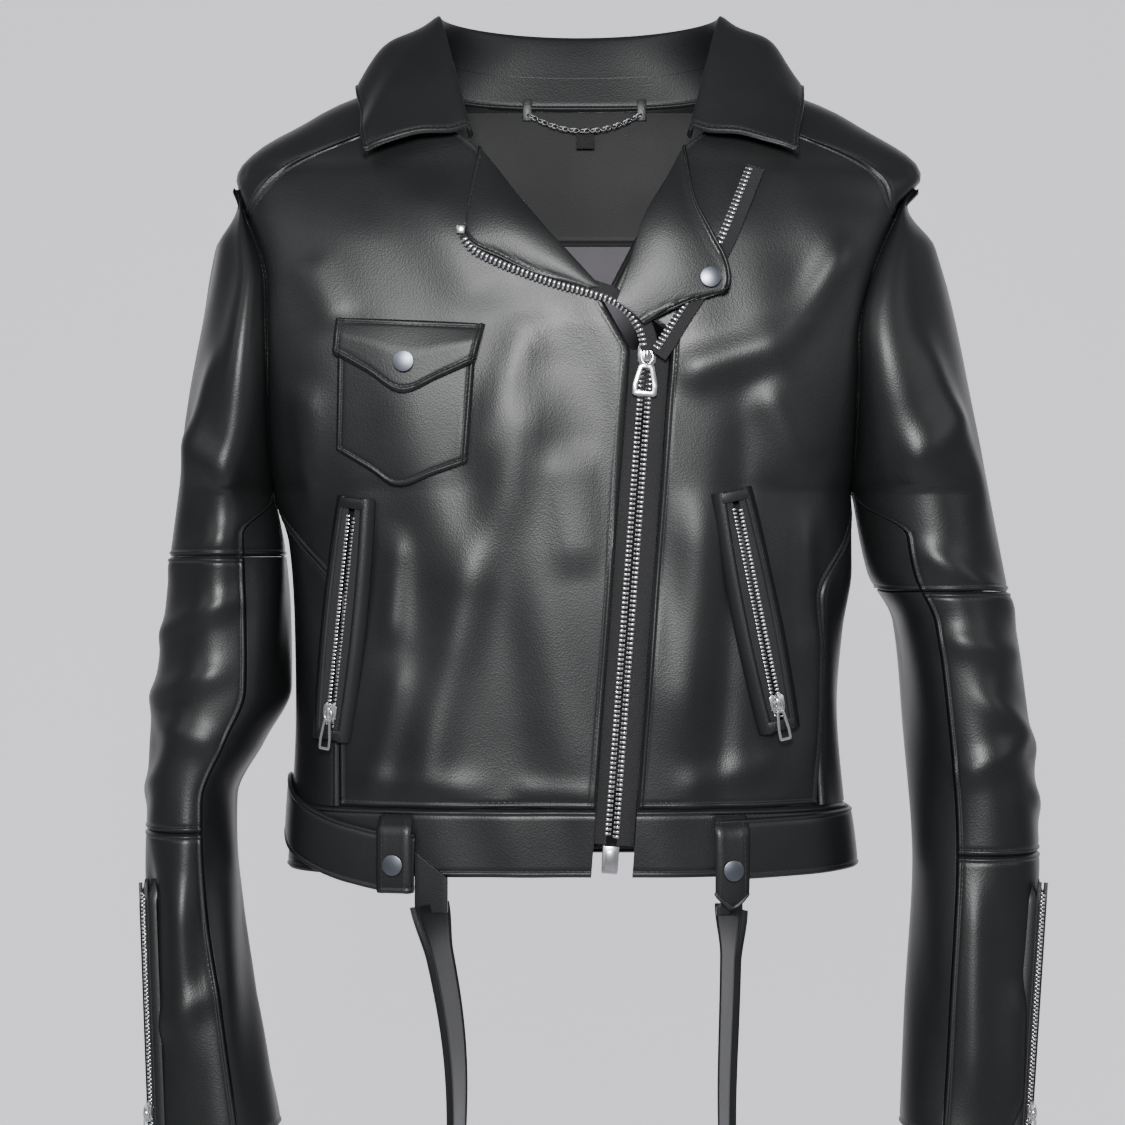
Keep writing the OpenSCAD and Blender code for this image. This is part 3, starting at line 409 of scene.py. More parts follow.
@dataclass(frozen=True)
class Finish:
    """One finish: constants on the shader, and the patterns that drive it."""

    name: str
    slot: Slot
    dark: tuple[float, float, float]
    light: tuple[float, float, float]
    rough: tuple[float, float]
    metallic: float = 0.
    specular: float = .5
    sheen: float = 0.
    coat: float = 0.
    bump: float = .3
    bump_depth: float = .0004
    cells: float = 900.
    crease: float = .5
    threads: float = 0.
    wear: float = 0.

    def make(self) -> bpy.types.Material:
        """Build the node material once and give it."""
        found = bpy.data.materials.get(self.name)
        if found:
            return found
        mat = bpy.data.materials.new(self.name)
        mat.use_nodes = True
        n, k = mat.node_tree.nodes, mat.node_tree.links
        shader = n["Principled BSDF"]
        shader.inputs["Metallic"].default_value = self.metallic
        shader.inputs["Specular IOR Level"].default_value = self.specular
        shader.inputs["Sheen Weight"].default_value = self.sheen
        shader.inputs["Sheen Roughness"].default_value = .4
        shader.inputs["Coat Weight"].default_value = self.coat
        shader.inputs["Coat Roughness"].default_value = .28
        grain = n.new("ShaderNodeGroup")
        grain.node_tree = bpy.data.node_groups.get("LeatherGrain") or grain_group()
        grain.inputs["Cells per metre"].default_value = self.cells
        grain.inputs["Crease depth"].default_value = self.crease
        height, mottle = grain.outputs["Height"], grain.outputs["Mottle"]
        if self.threads:
            weave = n.new("ShaderNodeGroup")
            weave.node_tree = bpy.data.node_groups.get("Weave") or weave_group()
            weave.inputs["Threads per metre"].default_value = self.threads
            height = weave.outputs["Height"]
        mix = n.new("ShaderNodeMix")
        mix.data_type = "RGBA"
        mix.inputs["A"].default_value = (*self.dark, 1)
        mix.inputs["B"].default_value = (*self.light, 1)
        share = mottle
        if self.wear:
            wear = n.new("ShaderNodeGroup")
            wear.node_tree = bpy.data.node_groups.get("EdgeWear") or wear_group()
            wear.inputs["Amount"].default_value = self.wear
            share = maths(n, k, "ADD", mottle, wear.outputs["Mask"])
        k.new(share, mix.inputs["Factor"])
        k.new(mix.outputs["Result"], shader.inputs["Base Color"])
        rough = n.new("ShaderNodeMapRange")
        rough.inputs["From Min"].default_value = .3
        rough.inputs["From Max"].default_value = .7
        rough.inputs["To Min"].default_value = self.rough[0]
        rough.inputs["To Max"].default_value = self.rough[1]
        k.new(mottle, rough.inputs["Value"])
        k.new(rough.outputs[0], shader.inputs["Roughness"])
        bump = n.new("ShaderNodeBump")
        bump.inputs["Strength"].default_value = self.bump
        bump.inputs["Distance"].default_value = self.bump_depth
        k.new(height, bump.inputs["Height"])
        k.new(bump.outputs[0], shader.inputs["Normal"])
        return mat


LEATHER = Finish("semi_gloss_leather", Slot.LEATHER, (.0062, .0068, .0072), (.010, .0115, .0115),
                 (.36, .46), specular=.4, coat=.04, bump=.35, bump_depth=.00035, wear=.5)
COLLAR_LEATHER = Finish("collar_leather", Slot.LEATHER, (.006, .0065, .007), (.0095, .0105, .011),
                        (.42, .52), specular=.36, coat=.02, bump=.4, bump_depth=.0004, wear=.5)
BACKING = Finish("matt_backing", Slot.EDGE, (.012, .012, .013), (.02, .02, .021), (.6, .72),
                 bump=.4, cells=1300.)
SATIN = Finish("satin_lining", Slot.LINING, (.048, .042, .054), (.08, .072, .088), (.34, .5),
               sheen=.35, bump=.25, threads=2600.)
TAPE = Finish("woven_tape", Slot.TAPE, (.010, .010, .011), (.018, .018, .019), (.7, .85),
              sheen=.2, bump=.8, bump_depth=.0005, threads=1100.)
THREAD = Finish("waxed_thread", Slot.LEATHER, (.013, .013, .014), (.022, .022, .023), (.42, .55),
                sheen=.15, bump=.6, threads=2400.)
NICKEL = Finish("bright_nickel", Slot.METAL, (.60, .60, .62), (.78, .78, .79), (.16, .3),
                metallic=1., bump=.12, bump_depth=.0001, cells=420., wear=.2)
CAP_METAL = Finish("snap_nickel", Slot.SNAP, (.13, .14, .165), (.2, .215, .245), (.26, .38),
                   metallic=1., bump=.1, bump_depth=.0001, cells=420., wear=.3)


# ---------------------------------------------------------------- bench tools
def deselect() -> None:
    """Clear the selection, which the frame leaves on the CAD nodes."""
    if bpy.context.object and bpy.context.object.mode != "OBJECT":
        bpy.ops.object.mode_set(mode="OBJECT")
    bpy.ops.object.select_all(action="DESELECT")


def apply_modifiers(obj: bpy.types.Object) -> None:
    """Apply every modifier of a piece."""
    deselect()
    bpy.context.view_layer.objects.active = obj
    obj.select_set(True)
    for modifier in list(obj.modifiers):
        bpy.ops.object.modifier_apply(modifier=modifier.name)


def settle(obj: bpy.types.Object, smooth_angle: float = 40) -> None:
    """Bake a piece's place into its mesh and shade it smooth by angle."""
    deselect()
    bpy.context.view_layer.objects.active = obj
    obj.select_set(True)
    bpy.ops.object.transform_apply(location=True, rotation=True, scale=True)
    bpy.ops.object.shade_smooth_by_angle(angle=math.radians(smooth_angle))


def dress(obj: bpy.types.Object, finish: Finish) -> None:
    """Give a piece its finish."""
    obj.data.materials.clear()
    obj.data.materials.append(finish.make())


@dataclass(frozen=True)
class Carrier:
    """What a piece rides on: a body, or a bend between two, which is named here but not set up."""

    body: str
    bends_to: str = ""
    start: tuple[float, float, float] = (0, 0, 0)
    end: tuple[float, float, float] = (0, 0, 0)

    def take(self, obj: bpy.types.Object) -> None:
        """Attach a finished piece to its body; a piece on a bend only has its place baked into its
        mesh.
        """
        if self.bends_to:
            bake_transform(obj)
        else:
            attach(obj, self.body)


JACKET = Carrier("jacket")


@dataclass
class Frames:
    """Places for copies: positions and three unit axes each, in millimetres."""

    place: np.ndarray
    along: np.ndarray
    across: np.ndarray
    out: np.ndarray

    @staticmethod
    def on_line(line: np.ndarray, out: np.ndarray, pitch: float, inset: float = 0.) -> Frames:
        """Space frames evenly on a line.

        Args:
            line: points of the line.
            out: outward normals at the points.
            pitch: spacing.
            inset: length left free at each end.

        Returns:
            The frames.
        """
        gaps = np.linalg.norm(np.diff(line, axis=0), axis=1)
        run = np.concatenate([[0], np.cumsum(gaps)])
        count = max(1, int((run[-1] - 2 * inset) / pitch))
        at = np.linspace(inset, run[-1] - inset, count + 1)
        at = (at[1:] + at[:-1]) / 2
        place = np.stack([np.interp(at, run, line[:, i]) for i in range(3)], -1)
        ahead = np.stack([np.interp(at + .4, run, line[:, i]) for i in range(3)], -1)
        behind = np.stack([np.interp(at - .4, run, line[:, i]) for i in range(3)], -1)
        along = unit(ahead - behind)
        normal = np.stack([np.interp(at, run, out[:, i]) for i in range(3)], -1)
        normal = unit(normal - (normal * along).sum(-1, keepdims=True) * along)
        return Frames(place, along, np.cross(normal, along), normal)


def copies(name: str, pattern: bpy.types.Object, frames: Frames, finish: Finish,
           carrier: Carrier) -> bpy.types.Object:
    """Copy a pattern piece into every frame as one mesh.

    Args:
        name: name of the new piece.
        pattern: piece modelled in millimetres: X along, Y across, Z outwards.
        frames: where the copies go.
        finish: their finish.
        carrier: what they ride on.

    Returns:
        The new piece.
    """
    count = len(pattern.data.vertices)
    co = np.empty(count * 3)
    pattern.data.vertices.foreach_get("co", co)
    co = co.reshape(-1, 3)
    faces = [list(p.vertices) for p in pattern.data.polygons]
    spots = (frames.place[:, None] + co[None, :, :1] * frames.along[:, None]
             + co[None, :, 1:2] * frames.across[:, None] + co[None, :, 2:] * frames.out[:, None])
    verts = spots.reshape(-1, 3) * MM
    polys = [[v + i * count for v in f] for i in range(len(spots)) for f in faces]
    mesh = bpy.data.meshes.new(name)
    mesh.from_pydata(verts.tolist(), [], polys)
    obj = bpy.data.objects.new(name, mesh)
    bpy.context.collection.objects.link(obj)
    settle(obj, 50)
    dress(obj, finish)
    carrier.take(obj)
    return obj


class Patterns:
    """Small shapes that repeat, modelled once at millimetre size and then copied."""

    def __init__(self) -> None:
        """Start with an empty box of patterns."""
        self.made: dict[str, bpy.types.Object] = {}

    def keep(self, name: str) -> bpy.types.Object:
        """Take the active object as a pattern, out of the scene."""
        obj = bpy.context.object
        bpy.ops.object.transform_apply(location=True, rotation=True, scale=True)
        apply_modifiers(obj)
        obj.name = name
        bpy.context.collection.objects.unlink(obj)
        self.made[name] = obj
        return obj

    def stitch(self) -> bpy.types.Object:
        """One topstitch: a short thread that dips at both ends."""
        if "stitch" in self.made:
            return self.made["stitch"]
        deselect()
        bpy.ops.mesh.primitive_cylinder_add(vertices=6, radius=.34, depth=2.5,
                                            rotation=(0, math.pi / 2, 0))
        obj = self.keep("stitch")
        for v in obj.data.vertices:
            v.co.z = v.co.z * .8 + .12 - .3 * (abs(v.co.x) / 1.25) ** 2
        return obj

    def tooth(self, wide: float, pitch: float, thick: float) -> bpy.types.Object:
        """One metal tooth: a clamp body with a narrower rounded head.

        Args:
            wide: length from the tape to the head's tip.
            pitch: spacing of the teeth.
            thick: thickness through the tape.

        Returns:
            The pattern, whose head points along +Y.
        """
        key = f"tooth_{wide}_{pitch}"
        if key in self.made:
            return self.made[key]
        deselect()
        bpy.ops.mesh.primitive_cube_add(size=1)
        obj = bpy.context.object
        obj.scale = (pitch * .5, wide * .62, thick)
        obj.location = (0, -wide * .19, 0)
        bpy.ops.object.transform_apply(location=True, rotation=True, scale=True)
        bpy.ops.object.mode_set(mode="EDIT")
        bpy.ops.mesh.select_all(action="DESELECT")
        bpy.ops.object.mode_set(mode="OBJECT")
        for face in obj.data.polygons:
            face.select = face.normal.y > .9
        bpy.ops.object.mode_set(mode="EDIT")
        bpy.ops.mesh.inset(thickness=pitch * .06)
        bpy.ops.mesh.extrude_region_move(TRANSFORM_OT_translate={"value": (0, wide * .38, 0)})
        bpy.ops.transform.resize(value=(1.25, 1, .8))
        bpy.ops.object.mode_set(mode="OBJECT")
        bevel = obj.modifiers.new("round", "BEVEL")
        bevel.width = pitch * .07
        bevel.segments = 1
        return self.keep(key)

    def link(self) -> bpy.types.Object:
        """One link of the hang chain: a slightly twisted oval ring."""
        if "link" in self.made:
            return self.made["link"]
        deselect()
        bpy.ops.mesh.primitive_torus_add(major_segments=14, minor_segments=6, major_radius=1.35,
                                         minor_radius=.42)
        obj = self.keep("link")
        for v in obj.data.vertices:
            v.co.x *= 1.45
            v.co.z += .22 * v.co.x * v.co.y
        return obj


PATTERNS = Patterns()


@dataclass
class Cut:
    """One cut piece of leather or cloth laid on a surface, with its sewn rims."""

    name: str
    surface: Point
    core: Point
    width: float
    height: float
    sewn: str = ""
    thick: float = 2.2
    pitch: float = 4.5
    rows: tuple[float, float] = (0., 1.)
    finish: Finish = LEATHER
    carrier: Carrier = JACKET
    nodes: tuple[str, ...] = ()
    relief: Optional[Point] = None

    def grid(self) -> tuple[np.ndarray, np.ndarray, dict[str, np.ndarray]]:
        """Lay the grid out.

        Returns:
            Points and normals as rows of columns, and the distance of each point to each rim.
        """
        us, vs = ladder(self.width, self.pitch), ladder(self.height, self.pitch)
        u, v = np.meshgrid(us, vs)
        p = self.surface(u, v)
        du, dv = np.gradient(p, axis=1), np.gradient(p, axis=0)
        normal = np.cross(du, dv)
        flat = np.linalg.norm(normal, axis=-1) < 1e-6
        hint = unit(p - self.core(u, v))
        sign = np.sign((normal * hint).sum(-1)[~flat].sum()) or 1.
        normal = unit(normal) * sign
        normal[flat] = hint[flat]
        across = np.linalg.norm(np.diff(p, axis=1), axis=-1)
        down = np.linalg.norm(np.diff(p, axis=0), axis=-1)
        run_u = np.concatenate([np.zeros((len(vs), 1)), np.cumsum(across, 1)], 1)
        run_v = np.concatenate([np.zeros((1, len(us))), np.cumsum(down, 0)], 0)
        rims = {"l": run_u, "r": run_u[:, -1:] - run_u, "b": run_v, "t": run_v[-1:] - run_v}
        lift = np.zeros(u.shape)
        if self.relief:
            lift = lift + self.relief(u, v)
        seam = np.zeros(u.shape)
        for rim in self.sewn:
            seam = seam + rim_profile(rims[rim])
        seam = seam * np.clip(run_u[:, -1:] / 24, 0, 1) ** 2
        return p + (lift + np.maximum(seam, -1.5))[..., None] * normal, normal, rims

    def seam_line(self, p: np.ndarray, normal: np.ndarray, rim: str,
                  dist: np.ndarray) -> tuple[np.ndarray, np.ndarray]:
        """Find the stitch line that runs beside a rim."""
        if rim in "bt":
            p, normal, dist = p.swapaxes(0, 1), normal.swapaxes(0, 1), dist.T
        if rim in "rt":
            p, normal, dist = p[:, ::-1], normal[:, ::-1], dist[:, ::-1]
        line, out = [], []
        for row, nrow, drow in zip(p, normal, dist):
            if drow[-1] < 9:
                continue
            line.append([np.interp(3.9, drow, row[:, i]) for i in range(3)])
            out.append([np.interp(3.9, drow, nrow[:, i]) for i in range(3)])
        return np.array(line), np.array(out)

    def make(self) -> bpy.types.Object:
        """Model the piece and its stitches.

        Returns:
            The piece.
        """
        p, normal, rims = self.grid()
        rows, cols = p.shape[:2]
        deselect()
        bpy.ops.mesh.primitive_grid_add(x_subdivisions=cols - 1, y_subdivisions=rows - 1, size=2)
        obj = bpy.context.object
        obj.name = obj.data.name = self.name
        co = np.empty(rows * cols * 3)
        obj.data.vertices.foreach_get("co", co)
        co = co.reshape(-1, 3)
        col = np.rint((co[:, 0] + 1) / 2 * (cols - 1)).astype(int)
        row = np.rint((co[:, 1] + 1) / 2 * (rows - 1)).astype(int)
        obj.data.vertices.foreach_set("co", (p[row, col] * MM).ravel())
        obj.data.update()
        faces = obj.data.polygons[len(obj.data.polygons) // 2]
        mid = np.array(faces.vertices)
        if np.dot(np.array(faces.normal), normal[row[mid], col[mid]].mean(0)) < 0:
            obj.data.flip_normals()
        wall = obj.modifiers.new("wall", "SOLIDIFY")
        wall.thickness = self.thick * MM
        wall.offset = -1
        rim = obj.modifiers.new("rim", "BEVEL")
        rim.width = min(.5, self.thick * .3) * MM
        rim.segments = 2
        rim.limit_method = "ANGLE"
        rim.angle_limit = math.radians(55)
        apply_modifiers(obj)
        settle(obj, 60)
        dress(obj, self.finish)
        if self.nodes:
            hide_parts(*self.nodes)
        self.carrier.take(obj)
        self.sew(p, normal, rims)
        LOG.info("%s: %d faces", self.name, len(obj.data.polygons))
        return obj

    def sew(self, p: np.ndarray, normal: np.ndarray, rims: dict[str, np.ndarray]) -> None:
        """Run a topstitch beside each sewn rim."""
        found = []
        for rim in self.sewn:
            line, out = self.seam_line(p, normal, rim, rims[rim])
            if len(line) > 3:
                found.append(Frames.on_line(line + out * .05, out, 3.5, 4.))
        if found:
            joined = Frames(*(np.concatenate([getattr(f, key) for f in found])
                              for key in ("place", "along", "across", "out")))
            copies(f"{self.name}_stitches", PATTERNS.stitch(), joined, THREAD, self.carrier)


# ---------------------------------------------------------------- torso
GAP = .3
WALL = 2.4
LAYER = .6
LINING_GAP = 2.2


def panel(a0: Callable[[np.ndarray], np.ndarray], a1: Callable[[np.ndarray], np.ndarray],
          z0: float, z1: float, lift: Optional[Point] = None, off: float = 0.) -> Point:
    """Make the surface function of a torso panel between two angles and two heights.

    Args:
        a0: first angle in degrees, by height.
        a1: second angle in degrees, by height.
        z0: lower height in millimetres.
        z1: upper height in millimetres.
        lift: extra height by angle and z.
        off: height of the whole panel.

    Returns:
        A function from u and v to points in millimetres.
    """
    def at(u: np.ndarray, v: np.ndarray) -> np.ndarray:
        """Point at u across and v up."""
        z = lerp(z0 + GAP / 2, z1 - GAP / 2, v)
        a = lerp(a0(z) + .07, a1(z) - .07, u)
        high = off + (lift(a, z) if lift else 0.)
        return FORM.at(a, z) + np.asarray(high)[..., None] * FORM.normal(a, z)
    return at


def middle(at: Point) -> Point:
    """Points on the torso's core line beside a surface, which tell inside from outside."""
    def core(u: np.ndarray, v: np.ndarray) -> np.ndarray:
        """Core point beside the surface."""
        p = at(u, v)
        return np.stack([p[..., 0] * .4, np.full(p.shape[:-1], FORM.mid_y), p[..., 2]], -1)
    return core


@dataclass
class Torso:
    """Front, side and back panels, yokes and the hem band."""

    chain_z: tuple[float, float] = (-169, -470)
    chain_x: tuple[float, float] = (41, 19)
    placket: tuple[float, float] = (10.5, 14)
    yoke_z: tuple[float, float] = (-80, -14)
    yoke_angle: float = 62
    back_yoke_z: float = -92
    armpit: float = -250
    hem: float = -448
    band: float = 42

    def chain_at(self, z: np.ndarray) -> np.ndarray:
        """X of the zip chain at a height."""
        t = (self.chain_z[0] - z) / (self.chain_z[0] - self.chain_z[1])
        return lerp(self.chain_x[0], self.chain_x[1], t)

    def edge_x(self, side: Side, z: np.ndarray) -> np.ndarray:
        """X of the inner edge of a front panel: neckline, fold line, then beside the zip."""
        s, low = side.value, FORM.v_bottom
        nx, nz = FORM.neck_front
        run = 4 if side is Side.RIGHT else 12
        top = self.chain_z[0] + run
        beside = self.chain_at(np.minimum(z, top)) + s * self.placket[side is Side.LEFT]
        start = self.chain_x[0] + s * self.placket[side is Side.LEFT]
        x = np.where(z < top, beside, np.interp(z, [top, low[1]], [start, low[0] + 3 * s]))
        x = np.where(z > low[1], np.interp(z, [low[1], nz], [low[0] + 3 * s, s * nx]), x)
        return np.where(z > nz, np.interp(z, [nz, self.yoke_z[1]], [s * nx, s * 96]), x)

    def edge_a(self, side: Side, z: np.ndarray) -> np.ndarray:
        """Section angle of the inner edge."""
        return FORM.angle(self.edge_x(side, z), z)

    def seam_a(self, side: Side, z: np.ndarray) -> np.ndarray:
        """Angle from the side to the side seam at a height."""
        a = FORM.angle(np.full(np.shape(z), float(side.value * FORM.side_seam_x)), z)
        return np.abs(a + (180 if side is Side.RIGHT else 0))

    def outer_a(self, side: Side, z: np.ndarray) -> np.ndarray:
        """Angle from the side to a front panel's outer edge."""
        rise = np.clip((z - self.yoke_z[0]) / (self.yoke_z[1] - self.yoke_z[0]), 0, 1)
        yoke = self.yoke_angle * rise ** (1 / 1.6)
        return np.where(z > self.yoke_z[0], yoke, self.low_a(side, z))

    def low_a(self, side: Side, z: np.ndarray) -> np.ndarray:
        """Angle from the side to the side seams, which run together under the arm."""
        return self.seam_a(side, z) * step((self.armpit + 4 - z) / 74)

    def front(self, side: Side) -> None:
        """Cut and sew one front panel."""
        def seam(z: np.ndarray) -> np.ndarray:
            """Outer edge."""
            a = self.outer_a(side, z)
            return -180 + a if side is Side.RIGHT else -a

        def edge(z: np.ndarray) -> np.ndarray:
            """Inner edge."""
            return self.edge_a(side, z)

        def lift(a: np.ndarray, z: np.ndarray) -> np.ndarray:
            """Folds of the front, which die away at the neckline."""
            return drape(TORSO_FOLDS, FORM.at(a, z)[..., 0], z, 3) * step((-20 - z) / 60)

        pair = (seam, edge) if side is Side.RIGHT else (edge, seam)
        at = panel(*pair, self.hem, self.yoke_z[1] - 3, lift)
        Cut(f"front_panel_{side.word}_leather", at, middle(at), 190, 430, "lrtb", pitch=3.6,
            nodes=(f"front_panel_{side.word}",)).make()

    def front_yoke(self, side: Side) -> None:
        """Cut and sew one front yoke."""
        def at(u: np.ndarray, v: np.ndarray) -> np.ndarray:
            """Point across from the shoulder line and up from the yoke seam."""
            a = lerp(.3, self.yoke_angle - 2, u)
            low = lerp(self.yoke_z[0], self.yoke_z[1], (a / self.yoke_angle) ** 1.6) + GAP
            top = lerp(14, self.yoke_z[1] + 3, (a / self.yoke_angle) ** 2)
            z = lerp(low, top, v)
            b = -180 + a if side is Side.RIGHT else -a
            high = drape((), FORM.at(b, z)[..., 0], z, 5, .7)
            return FORM.at(b, z) + high[..., None] * FORM.normal(b, z)
        Cut(f"front_yoke_{side.word}_leather", at, middle(at), 130, 74, "b",
            nodes=(f"front_yoke_{side.word}",)).make()

    def back(self) -> None:
        """Cut and sew the back yoke and the back panel."""
        def yoke(u: np.ndarray, v: np.ndarray) -> np.ndarray:
            """Point of the yoke."""
            a = lerp(.3, 179.7, u)
            z = lerp(self.back_yoke_z + GAP, 14 * np.cos(np.radians(a)) ** 2, v)
            high = drape(BACK_FOLDS, FORM.at(a, z)[..., 0], z, 8, .8)
            return FORM.at(a, z) + high[..., None] * FORM.normal(a, z)

        def lift(a: np.ndarray, z: np.ndarray) -> np.ndarray:
            """Folds of the back."""
            return drape(BACK_FOLDS, FORM.at(a, z)[..., 0], z, 9)

        def first(z: np.ndarray) -> np.ndarray:
            """Left edge."""
            return self.low_a(Side.LEFT, z)

        def last(z: np.ndarray) -> np.ndarray:
            """Right edge."""
            return 180 - self.low_a(Side.RIGHT, z)
        Cut("back_yoke_leather", yoke, middle(yoke), 420, 100, "b", pitch=4.4,
            nodes=("back_yoke",)).make()
        at = panel(first, last, self.hem, self.back_yoke_z, lift)
        Cut("back_panel_leather", at, middle(at), 400, 356, "lrtb", pitch=4.4,
            nodes=("back_panel",)).make()

    def side_panel(self, side: Side) -> None:
        """Cut and sew one side panel under the arm."""
        def front(z: np.ndarray) -> np.ndarray:
            """Front seam."""
            return -self.low_a(side, z)

        def rear(z: np.ndarray) -> np.ndarray:
            """Back seam."""
            return -front(z)

        def lift(a: np.ndarray, z: np.ndarray) -> np.ndarray:
            """Folds of the side, which lie by angle."""
            b = np.where(a < -90, a + 180, a)
            return .6 * drape((), 2 * b, z, 12 + side.value)

        def right_low(z: np.ndarray) -> np.ndarray:
            """Right panel's first angle."""
            return -180 + front(z)

        def right_high(z: np.ndarray) -> np.ndarray:
            """Right panel's second angle."""
            return -180 + rear(z)
        pair = (front, rear) if side is Side.LEFT else (right_low, right_high)
        at = panel(*pair, self.hem, self.armpit + 1, lift)
        Cut(f"side_panel_{side.word}_leather", at, middle(at), 110, 198, "lr",
            nodes=(f"side_panel_{side.word}",)).make()

    def hem_band(self) -> None:
        """Cut and sew the three parts of the hem band."""
        def sag(a: np.ndarray, z: np.ndarray) -> np.ndarray:
            """The band's faint waves."""
            return .7 * drape((), FORM.at(a, z)[..., 0], z, 21)

        low = self.hem - self.band
        right = panel(steady(-180), lambda z: self.edge_a(Side.RIGHT, z), low, self.hem, sag)
        left = panel(lambda z: self.edge_a(Side.LEFT, z), steady(0), low, self.hem, sag)
        back = panel(steady(0), steady(180), low, self.hem, sag)
        for name, at, wide in (("right", right, 210), ("left", left, 190), ("back", back, 440)):
            Cut(f"hem_band_{name}_leather", at, middle(at), wide, self.band, "tb", pitch=4,
                nodes=(f"hem_band_{name}",)).make()

    def inside(self) -> None:
        """Cut the facing and the gathered satin lining inside the back."""
        def gathers(a: np.ndarray, z: np.ndarray) -> np.ndarray:
            """Soft gathers that hang from the facing's seam."""
            x = FORM.at(a, z)[..., 0]
            wander = 6 * np.sin(z * .021 + 1) + 3 * np.sin(z * .05)
            deep = .5 + .5 * step((-86 - z) / 40)
            return deep * (-.7 * np.sin((x + wander) * .17) - .6 * np.sin((x - wander) * .081 + 2)
                           - .6)
        facing = panel(steady(48), steady(132), -86, 0, None, -WALL - LINING_GAP)
        Cut("back_facing_leather", facing, middle(facing), 210, 86, "b", 1.1, finish=BACKING,
            nodes=("back_facing",)).make()
        lining = panel(steady(40), steady(140), self.hem, -86, gathers, -WALL - LINING_GAP)
        cloth = Cut("lining_back_satin", lining, middle(lining), 250, 362, "", 1.0, pitch=3.2,
                    finish=SATIN, nodes=("lining_back",)).make()


BACK_FOLDS = [
    Fold((-150, -120), (-60, -250), 16, 3.0), Fold((150, -120), (60, -250), 16, 3.0),
    Fold((-40, -130), (-52, -430), 22, 2.6), Fold((50, -140), (40, -430), 22, 2.6),
    Fold((0, -160), (4, -420), 16, -2.2), Fold((-130, -300), (-90, -430), 13, 2.4),
    Fold((130, -300), (92, -430), 13, 2.4), Fold((-120, -30), (-60, -75), 18, 1.6),
    Fold((120, -30), (60, -75), 18, 1.6),
]


# ---------------------------------------------------------------- sleeves
@dataclass
class ArmForm:
    """The outer surface of one sleeve as sections along Z; angle 0 is inside, front negative."""

    side: Side
    inner: Knots
    outer: Knots
    elbow: float
    low_seam: float
    deep: Knots = ((-648, 38), (-560, 41), (-464, 47), (-380, 53), (-250, 55), (-200, 44),
                   (-150, 34), (-80, 18), (-50, 3))
    forward: Knots = ((-648, 40), (-560, 28), (-464, 14), (-380, 3), (-330, 0))
    cuff: float = -648
    armpit: float = -250
    cap_top: float = -60
    seam_a: float = 62

    def reach(self, z: np.ndarray) -> np.ndarray:
        """Outermost X of the sleeve, drawn in to the shoulder at the top of the cap."""
        full = smooth(z, self.outer)
        least = FORM.half_width(self.side.value, z) + GAP + 2.6
        return np.where(np.asarray(z) > self.cap_top - 36,
                        lerp(least, full, step((self.cap_top - z) / 36)), full)

    def at(self, a: np.ndarray, z: np.ndarray) -> np.ndarray:
        """Point at section angle a in degrees and height z."""
        a, z = np.broadcast_arrays(np.asarray(a, float), np.asarray(z, float))
        turn = np.cos(np.radians(a))
        slot = np.where(z < self.armpit, 0, FORM.armhole(z))
        near = np.where(z > self.armpit, FORM.half_width(self.side.value, z) + GAP,
                        smooth(z, self.inner))
        x = self.side.value * lerp(near, self.reach(z), (1 - turn) / 2)
        front = np.where((a < 0) & (a > -180) | (a > 180), -1, 1)
        y = (FORM.mid_y - smooth(z, self.forward) + front * slot * (1 + turn) / 2
             + smooth(z, self.deep) * np.sin(np.radians(a)))
        return np.stack([x, y, z], -1)

    def normal(self, a: np.ndarray, z: np.ndarray) -> np.ndarray:
        """Outward normal at a section angle and height."""
        wrapped = (np.asarray(a, float) + 180) % 360 - 180
        b = np.where(wrapped < 0, np.minimum(wrapped, -2.2), np.maximum(wrapped, 2.2))
        b = np.clip(b, -178, 178)
        da = self.at(b + 1, z) - self.at(b - 1, z)
        dz = self.at(b, np.asarray(z) + 1.5) - self.at(b, np.asarray(z) - 1.5)
        n = unit(np.cross(da, dz))
        core = np.stack([self.side.value * (self.reach(z) + FORM.half_width(
            self.side.value, z)) / 2, np.full(np.shape(z), float(FORM.mid_y)), z], -1)
        flip = np.sign(((self.at(b, z) - core) * n).sum(-1, keepdims=True))
        return n * np.where(flip == 0, 1, flip)


